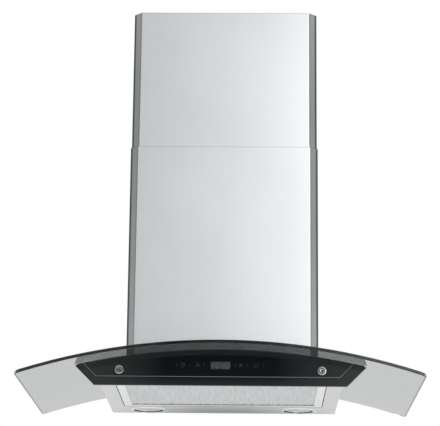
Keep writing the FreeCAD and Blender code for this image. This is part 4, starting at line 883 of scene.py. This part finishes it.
def key_marks():
    """Plain signs over the touch keys: timer, fan, light and power, each between brackets."""
    line, bow = 0.8 * MM, 7 * MM
    timer, fan, light, power = -70.5 * MM, -43 * MM, 38 * MM, 66 * MM
    shapes = []
    for x, side in ((-82.5, -1), (-57, 1), (-30, 1), (27, -1), (50, 1), (81, 1)):
        centre = x * MM - side * bow
        shapes.append(ring(centre, KEY_Z, bow, line, [(0 if side > 0 else 180, 0.83 * bow)]))
    shapes += [ring(timer, KEY_Z, 4.4 * MM, line), bar(timer + 1 * MM, KEY_Z, 2.6 * MM, line)]
    shapes.append(bar(timer, KEY_Z + 1.2 * MM, line, 3 * MM))
    for turn in range(3):
        degrees = 90 + 120 * turn
        way = Vector((math.cos(math.radians(degrees)), math.sin(math.radians(degrees))))
        place = Vector((fan, KEY_Z)) + way * 2.9 * MM
        shapes.append(ring(place.x, place.y, 1.9 * MM, line))
    shapes.append(dot(fan, KEY_Z, 0.9 * MM))
    shapes.append(dot(light, KEY_Z, 2.1 * MM))
    for turn in range(8):
        way = Vector((math.cos(math.radians(45 * turn)), math.sin(math.radians(45 * turn))))
        place = Vector((light, KEY_Z)) + way * 3.9 * MM
        shapes.append(bar(place.x, place.y, 1.6 * MM, line, 45 * turn))
    shapes.append(ring(power, KEY_Z, 4.4 * MM, line, [(-90, -2.9 * MM)]))
    shapes.append(bar(power, KEY_Z + 2.9 * MM, line, 4 * MM))
    printed("panel_key_marks", shapes, KEY_INK, PANEL_FRONT)


def display_digits():
    """Four unlit seven-bar digits and a colon behind the display window."""
    low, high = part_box("display_window")
    tall, wide, line = 10.0 * MM, 5.4 * MM, 1.1 * MM
    z = (low.z + high.z) / 2
    shapes = []
    for x in (-14.2, -6.2, 6.2, 14.2):
        centre = x * MM
        for level in (-1, 0, 1):
            shapes.append(bar(centre, z + level * tall / 2, wide - 1.4 * line, line))
        for side in (-1, 1):
            for level in (-1, 1):
                shapes.append(
                    bar(centre + side * wide / 2, z + level * tall / 4, line,
                        tall / 2 - 1.4 * line)
                )
    for level in (-1, 1):
        shapes.append(dot(0, z + level * 2.4 * MM, 0.7 * MM))
    printed("display_digits", shapes, DIGIT_INK, low.y, slope=0.08)


# ------------------------------------------------------------------ panel seal, caps and lamps


def panel_seal():
    """A thin rubber strip that fills the gap between the panel's arched top and the glass."""
    glass_low, glass_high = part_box("glass_canopy")
    top = glass_high.z - GLASS_THICK
    half, rise = glass_high.x, top - glass_low.z
    radius = (half * half + rise * rise) / (2 * rise)
    long = 2 * (PANEL[1].x - 4 * MM)
    strip = started(
        "panel_seal", bpy.ops.mesh.primitive_plane_add, size=1, scale=(long, 3 * MM, 1),
        location=(0, PANEL_FRONT + 2.5 * MM, 0),
    )
    with editing(strip):
        pick(strip, "EDGE", lambda centre: abs(centre.x) < 0.1 * MM)
        bpy.ops.mesh.subdivide(number_cuts=47)
    for corner in strip.data.vertices:
        drop = radius - math.sqrt(radius * radius - corner.co.x ** 2)
        corner.co.z = top - drop - 0.05 * MM
    modified(strip, "SOLIDIFY", thickness=1.1 * MM, offset=-1.0)
    finished(strip, FINISHES["black_rubber"], "hood")


def panel_caps():
    """The two turned caps on the panel: a rim, a groove, an inner rim and a socket."""
    low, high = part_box("panel_screws")
    shank_end = -(high.y - PANEL_FRONT)
    profile = [
        (0.4, shank_end / MM), (2.5, shank_end / MM), (2.5, 0), (7.6, 0), (8.0, 0.5), (8.0, 2.5),
        (7.8, 3.3), (7.2, 3.8), (6.6, 3.9), (6.1, 3.5), (5.8, 2.6), (5.6, 1.9), (5.0, 1.8),
        (4.7, 2.3), (4.5, 3.2), (4.1, 3.7), (3.5, 3.8), (2.9, 3.6), (2.5, 3.1), (2.3, 1.2),
        (0.3, 0.9),
    ]
    cap = turned("panel_cap_left", [(radius * MM, height * MM) for radius, height in profile])
    with editing(cap):
        for height in (shank_end, 0.9 * MM):
            pick(cap, "VERT", lambda centre: abs(centre.z - height) < 0.01 * MM
                 and centre.xy.length < 0.5 * MM)
            bpy.ops.mesh.edge_face_add()
        bpy.ops.mesh.select_all(action="SELECT")
        bpy.ops.mesh.normals_make_consistent(inside=False)
    placed(cap, (math.pi / 2, 0, 0), (low.x + CAP_RADIUS, PANEL_FRONT, (low.z + high.z) / 2))
    right = copied(cap, "panel_cap_right", (high.x - low.x - 2 * CAP_RADIUS, 0, 0))
    for piece in (cap, right):
        rounded(piece, 30)
        finished(piece, CAP_CHROME, "hood")
        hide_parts("panel_screws")


def lamp_shadow_rings():
    """A black rubber ring round the rim of each lens, inside the bezel: painted shade, a dark ring
    standing for the shade line at the lens's rim.
    """
    for name in ("left", "right"):
        low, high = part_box(f"lamp_{name}_lens")
        outer = (high.x - low.x) / 2
        inner = outer - 2.5 * MM
        top, middle, bottom = -0.1 * MM, -0.3 * MM, -0.5 * MM
        profile = [
            (outer, top), (inner, top), (inner - 0.2 * MM, middle), (inner, bottom),
            (outer, bottom), (outer, top),
        ]
        shadow_ring = turned(f"lamp_{name}_gasket", profile)
        placed(shadow_ring, (0, 0, 0), ((low.x + high.x) / 2, (low.y + high.y) / 2, low.z))
        rounded(shadow_ring)
        finished(shadow_ring, FINISHES["black_rubber"], "hood")


def lamp_reflectors():
    """A bright dish behind each lens."""
    profile = (
        (28.6, 0.4), (28.2, 2.5), (26.4, 6.5), (22.5, 10.5), (16.5, 14), (9, 16.4), (5, 17)
    )
    for name in ("left", "right"):
        low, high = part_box(f"lamp_{name}_lens")
        centre = ((low.x + high.x) / 2, (low.y + high.y) / 2, high.z)
        dish = turned(
            f"lamp_{name}_dish", [(radius * MM, height * MM) for radius, height in profile]
        )
        modified(dish, "SOLIDIFY", thickness=0.5 * MM, offset=-1.0)
        placed(dish, (0, 0, 0), centre)
        rounded(dish)
        finished(dish, FINISHES["bright_chrome"], "hood")


# ------------------------------------------------------------------ camera, floor and light


def camera():
    data = bpy.data.cameras.new("camera")
    eye = bpy.data.objects.new("camera", data)
    bpy.context.scene.collection.objects.link(eye)
    data.sensor_width = SENSOR_WIDTH
    data.lens = FOCAL_LENGTH_PIXELS / PICTURE_WIDTH * SENSOR_WIDTH
    eye.matrix_world = (
        Matrix.Translation(CAMERA_PLACE)
        @ Matrix.Rotation(CAMERA_TURN, 4, "Z")
        @ Matrix.Rotation(math.pi / 2 + CAMERA_TILT, 4, "X")
        @ Matrix.Rotation(CAMERA_ROLL, 4, "Z")
    )
    bpy.context.scene.camera = eye


def seen_directly(tree):
    """1 where the camera, metal or glass looks at the background, 0 where it gives light."""
    ray = node(tree, "LightPath").outputs
    seen = maths(tree, "MAXIMUM", ray["Is Camera Ray"], ray["Is Glossy Ray"])
    return maths(tree, "MAXIMUM", seen, ray["Is Transmission Ray"])


def floor():
    """A plain pale floor, well below the hood."""
    ground = started("floor", bpy.ops.mesh.primitive_plane_add, size=24, location=(0, 0, -1.5))
    material, tree, shader = new_material("pale_floor", Roughness=0.9)
    mottle = noise(tree, place_of(tree), 1.5, 3.0)
    tone = mixed(tree, mottle, (0.80, 0.80, 0.80, 1), (0.84, 0.84, 0.84, 1))
    glow = ranged(tree, seen_directly(tree), 0.0, 0.3)
    feed(tree, shader, Base_Color=tone, Emission_Color=tone, Emission_Strength=glow)
    ground.data.materials.append(material)


def world():
    """White wherever the camera, metal or glass looks past the hood, and softer as a light."""
    sky = bpy.data.worlds.new("studio")
    bpy.context.scene.world = sky
    sky.use_nodes = True
    tree = sky.node_tree
    strength = ranged(tree, seen_directly(tree), 0.75, 1.0)
    background = tree.nodes["Background"]
    background.inputs["Color"].default_value = (1, 1, 1, 1)
    tree.links.new(strength, background.inputs["Strength"])


def softbox(name, place, target, wide, tall, power):
    data = bpy.data.lights.new(name, "AREA")
    data.shape = "RECTANGLE"
    data.size, data.size_y = wide, tall
    data.energy = power
    lamp = bpy.data.objects.new(name, data)
    bpy.context.scene.collection.objects.link(lamp)
    lamp.location = place
    lamp.rotation_euler = (Vector(target) - Vector(place)).to_track_quat("-Z", "Y").to_euler()


def dark_card(name, place, facing, wide, tall, strength, solid=0.2):
    """A black studio card that only reflections show; it fades out towards its edges."""
    card = started(
        name, bpy.ops.mesh.primitive_plane_add, size=1, location=place, rotation=facing,
        scale=(wide, tall, 1),
    )
    material = bpy.data.materials.new(name)
    material.use_nodes = True
    tree = material.node_tree
    tree.nodes.clear()
    over = split(tree, node(tree, "TexCoord").outputs["UV"])
    fade = strength
    for way in ("X", "Y"):
        from_middle = maths(tree, "ABSOLUTE", maths(tree, "SUBTRACT", over[way], 0.5))
        fade = maths(tree, "MULTIPLY", fade, ranged(tree, from_middle, 1.0, 0.0, solid / 2, 0.5))
    black = node(tree, "Emission", {"Strength": 0.0}).outputs[0]
    clear = node(tree, "BsdfTransparent").outputs[0]
    shown = node(tree, "MixShader", {0: fade, 1: clear, 2: black}).outputs[0]
    node(tree, "OutputMaterial", {"Surface": shown})
    card.data.materials.append(material)
    for way in ("camera", "diffuse", "transmission", "volume_scatter", "shadow"):
        setattr(card, f"visible_{way}", False)


def cards():
    """Dark cards: two for the duct's folds, one each for the panel, the duct's left and the rear."""
    quarter = math.pi / 2
    for name, side in (("left_card", -1), ("right_card", 1)):
        dark_card(name, (side * 1.5, -0.18, 0.75), (quarter, 0, quarter), 2.0, 2.6, 0.72, 0.3)
    dark_card("front_card", (-5 * MM, -0.56, 43 * MM), (quarter, 0, 0), 0.60, 0.13, 1.0, 0.35)
    dark_card("soft_card", (-1.15, -3.0, 0.9), (quarter, 0, 0), 1.6, 3.2, 0.72, 0.4)
    # Painted shadow: the rear card stands for the hood's shadow on the wall behind it, and only
    # reflections show it.
    dark_card("rear_shadow_card", (0, 12 * MM, -12 * MM), (quarter, 0, 0), 0.5, 0.04, 0.66)


def lights():
    """A broad light from the right, and a weak one from the left."""
    softbox("key_light", (0.9, -1.6, 0.6), (0.05, -0.2, 0.3), 1.0, 1.8, 19.5)
    softbox("fill_light", (-1.8, -2.2, 0.4), (0, -0.2, 0.3), 1.4, 1.6, 5)


dress_solids()
filter_mesh()
ridge_highlight_line()
key_marks()
display_digits()
panel_seal()
panel_caps()
lamp_shadow_rings()
lamp_reflectors()
camera()
floor()
world()
cards()
lights()

bpy.context.scene.view_settings.view_transform = "Standard"
